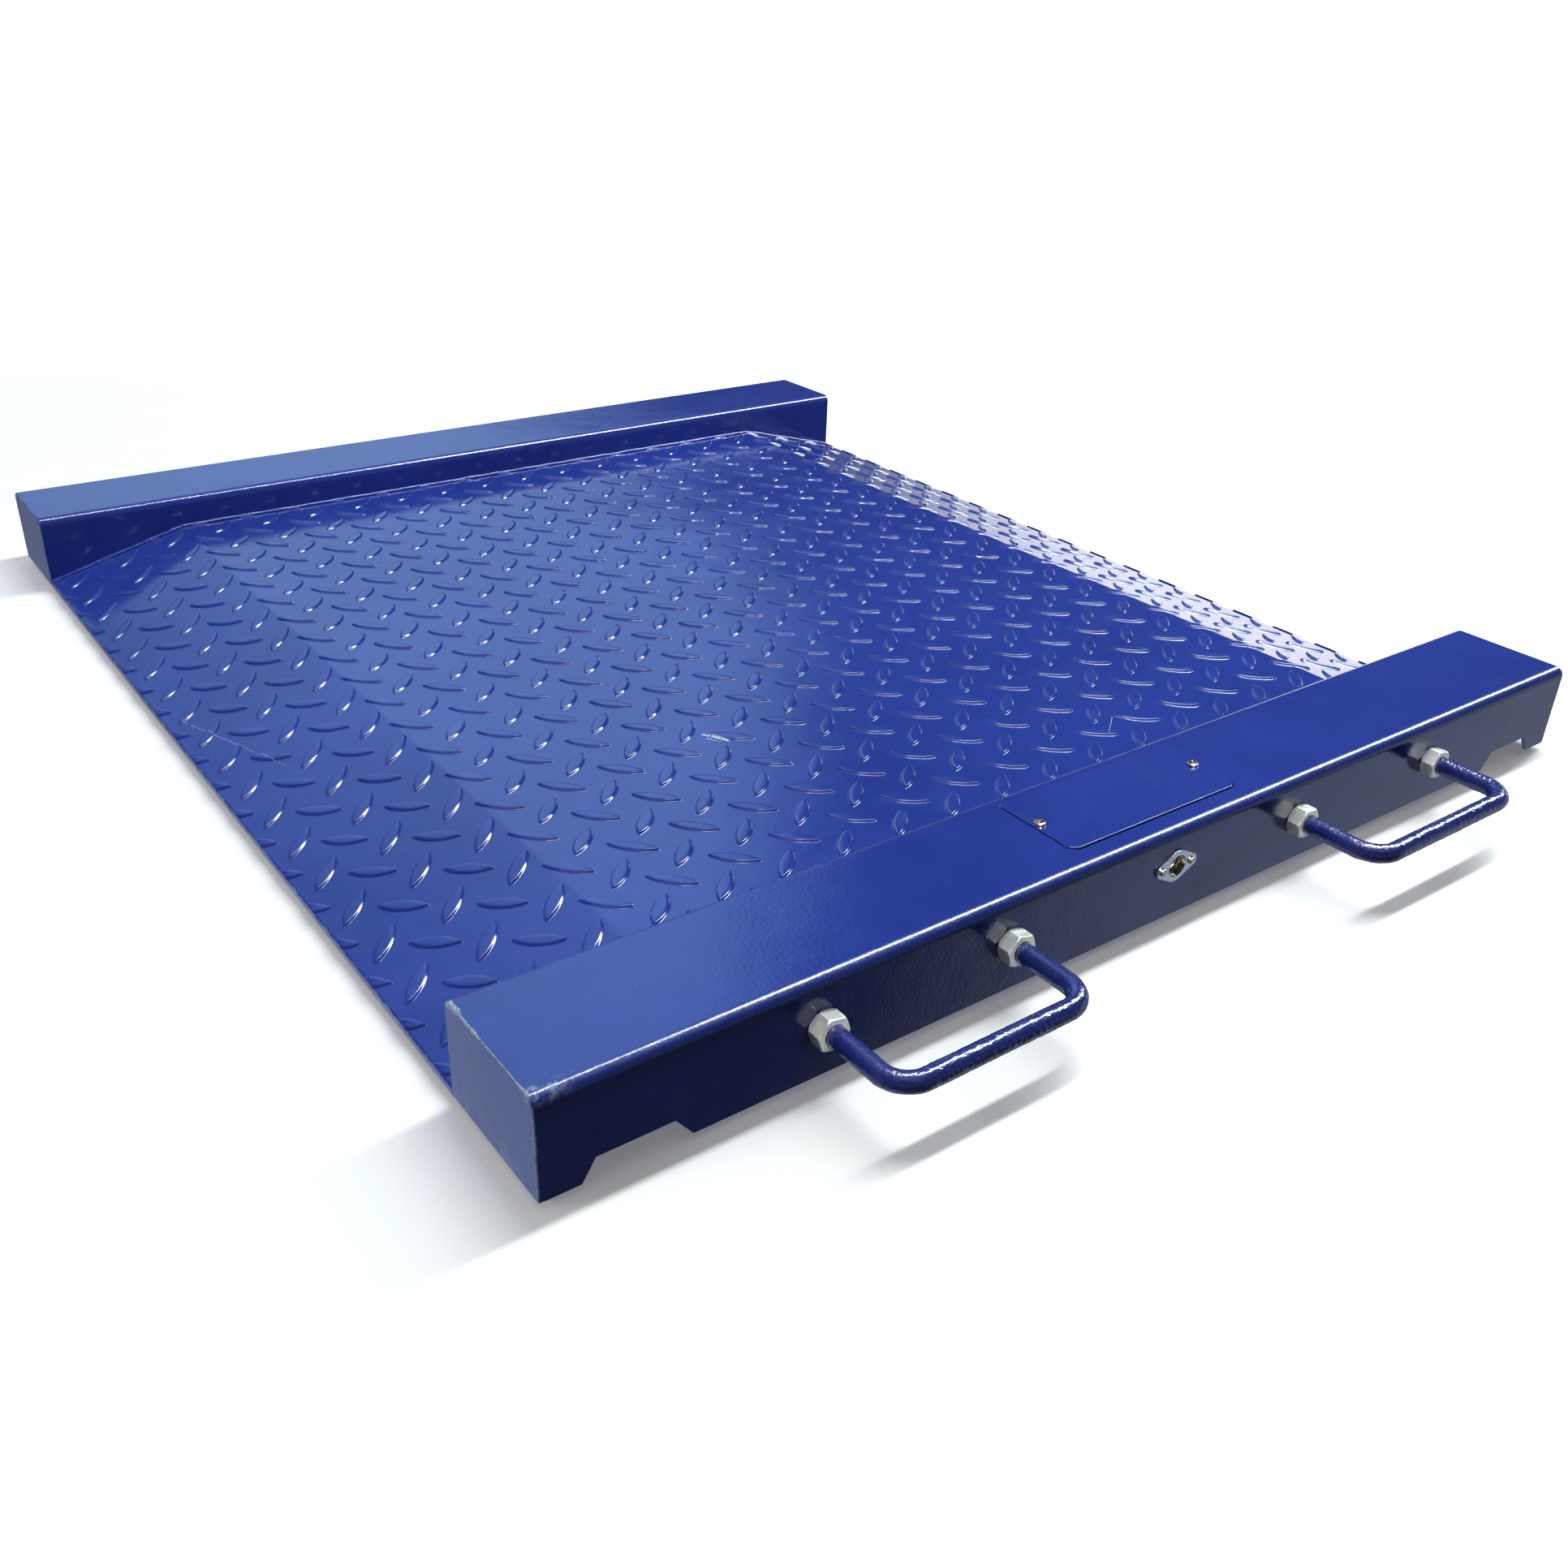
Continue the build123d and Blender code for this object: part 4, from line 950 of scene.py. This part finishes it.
# -------------------------------------------------------------- stage, light
def sky(nt):
    """The studio round the object: bright bounce near the horizon, a pale wall behind to the left of the camera's
    line, dark to the right of it, soft light from above, and a dim bluish ground."""
    bg = nt.nodes["Background"]
    tc = nt.nodes.new("ShaderNodeTexCoord")
    sep = nt.nodes.new("ShaderNodeSeparateXYZ")
    nt.links.new(tc.outputs["Generated"], sep.inputs[0])
    x, y, z = sep.outputs

    def op(what, a, b=None):
        n = nt.nodes.new("ShaderNodeMath")
        n.operation = what
        for i, v in enumerate((a, b)):
            if v is None:
                continue
            if isinstance(v, bpy.types.NodeSocket):
                nt.links.new(v, n.inputs[i])
            else:
                n.inputs[i].default_value = v
        return n.outputs[0]

    def ramp(v, a, b, lo=0.0, hi=1.0):
        n = nt.nodes.new("ShaderNodeMapRange")
        n.interpolation_type = "SMOOTHSTEP"
        nt.links.new(v, n.inputs[0])
        for i, t in enumerate((a, b, lo, hi)):
            n.inputs[i + 1].default_value = t
        return n.outputs[0]

    az = op("MULTIPLY", op("ARCTAN2", x, y), 180 / math.pi)
    elev = op("MULTIPLY", op("ARCSINE", z), 180 / math.pi)
    up = ramp(elev, -0.5, 0.5)
    down = op("SUBTRACT", 1.0, up)
    side = op("MULTIPLY", ramp(az, 40, 54), ramp(az, 100, 80))
    glow = op("MULTIPLY", op("MULTIPLY", ramp(elev, 5.0, 1.0), ramp(elev, -14, -7)), op("MULTIPLY", side, 1.5))
    band = op("ADD", glow, op("MULTIPLY", op("MULTIPLY", up, ramp(elev, 9.5, 5.5, 0.0, 0.26)), op("SUBTRACT", 1.0, side)))
    azs = op("ADD", az, op("MULTIPLY", op("MAXIMUM", op("SUBTRACT", 22.0, elev), 0.0), 1.3))
    lobe = op("MULTIPLY", ramp(az, -19, 15), ramp(azs, 41.0, 33.0))
    lobe = op("MULTIPLY", lobe, op("MULTIPLY", ramp(elev, 9, 13), ramp(elev, 15, 34, 0.58, 0.88)))
    lobe = op("MULTIPLY", lobe, ramp(elev, 62, 42))
    top = ramp(elev, 42, 60, 0.0, 0.48)
    low = op("ADD", ramp(elev, -50, -80, 0.0, 0.25),
             op("ADD", op("MULTIPLY", op("MULTIPLY", ramp(az, 84, 100), ramp(az, 139, 128)), 0.40),
                op("MULTIPLY", op("MULTIPLY", ramp(az, -100, -80), ramp(az, 20, 0)), ramp(elev, -20, -38, 0.14, 0.37))))
    low = op("MULTIPLY", down, op("ADD", low, 0.03))
    white = op("ADD", op("ADD", band, top), 0.03)
    col = nt.nodes.new("ShaderNodeCombineXYZ")
    for i, (k, q) in enumerate(((0.62, 0.84), (1.0, 0.98), (1.35, 1.40))):
        nt.links.new(op("ADD", white, op("ADD", op("MULTIPLY", lobe, k), op("MULTIPLY", low, q))), col.inputs[i])
    nt.links.new(col.outputs[0], bg.inputs[0])
    bg.inputs[1].default_value = 1.0


def stage():
    sc = bpy.context.scene
    me = bpy.data.meshes.new("floor")
    bm = bmesh.new()
    bmesh.ops.create_grid(bm, x_segments=24, y_segments=24, size=900.0)
    bm.to_mesh(me)
    bm.free()
    fl = bpy.data.objects.new("floor", me)
    sc.collection.objects.link(fl)
    m = Mat("floor_paint", (0.88, 0.88, 0.88))
    m.colour(m.mix(m.rng(m.noise(1.3, 3.0), 0.3, 0.7), (0.87, 0.87, 0.875), (0.90, 0.90, 0.90)))
    m.rough(m.rng(m.noise(20.0), 0.3, 0.7, 0.55, 0.65))
    x, y, z = m.xyz()
    far = m.op("SQRT", m.op("ADD", m.op("MULTIPLY", x, x), m.op("MULTIPLY", y, y)))
    m.b.inputs["Emission Color"].default_value = (1, 1, 1, 1)
    m.nt.links.new(m.rng(far, 0.7, 3.2, 0.16, 0.80), m.b.inputs["Emission Strength"])
    me.materials.append(m.m)
    fl.visible_glossy = False
    fl.visible_diffuse = False
    fl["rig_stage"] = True

    w = bpy.data.worlds.new("studio")
    sc.world = w
    w.use_nodes = True
    sky(w.node_tree)

    def area(name, loc, to, size, energy, colour=(1, 1, 1)):
        li = bpy.data.lights.new(name, "AREA")
        li.shape = "RECTANGLE"
        li.size, li.size_y = size
        li.energy = energy
        li.color = colour
        o = bpy.data.objects.new(name, li)
        sc.collection.objects.link(o)
        o.location = loc
        o.rotation_euler = (Vector(to) - Vector(loc)).to_track_quat("-Z", "Y").to_euler()
        return o

    area("tube", (2.5, -0.15, 2.7), (2.5, -0.15, 0), (5.5, 0.20), 152, (0.93, 1.0, 1.0))
    halo = area("tube_halo", (3.3, -0.10, 2.72), (3.3, -0.10, 0), (4.8, 1.0), 200, (0.90, 1.0, 1.0))
    halo.visible_diffuse = False
    fill = area("left_fill", (-3.2, 0.4, 1.1), (0, 0.1, 0), (1.2, 2.0), 42)
    fill.visible_glossy = False
    # a small lamp by the camera that only lights the plated fittings
    kick = area("fitting_lamp", (-0.6, -1.9, 1.1), (0.0, -0.57, 0.04), (0.9, 0.6), 26)
    plated = bpy.data.collections.new("plated")
    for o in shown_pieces():
        if o.get("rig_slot") in ("zinc_plate", "bright_nickel", "yellow_zinc"):
            plated.objects.link(o)
    kick.light_linking.receiver_collection = plated

    cam = bpy.data.cameras.new("camera")
    co = bpy.data.objects.new("camera", cam)
    sc.collection.objects.link(co)
    sc.camera = co
    right = Vector((0.806548, -0.590227, 0.033351))
    down = Vector((-0.262408, -0.407993, -0.874462))
    ahead = Vector((0.529738, 0.696544, -0.483946))
    up, back = -down, -ahead
    co.matrix_world = Matrix(((right.x, up.x, back.x, -0.75734), (right.y, up.y, back.y, -1.10559),
                              (right.z, up.z, back.z, 0.59339), (0, 0, 0, 1)))
    cam.sensor_width = 36.0
    cam.lens = 36.0 * 1836.13 / 1932.0
    cam.clip_start = 0.01
    cam.clip_end = 2500.0
    sc.view_settings.view_transform = "Standard"
    sc.view_settings.look = "None"


build_all()
stage()
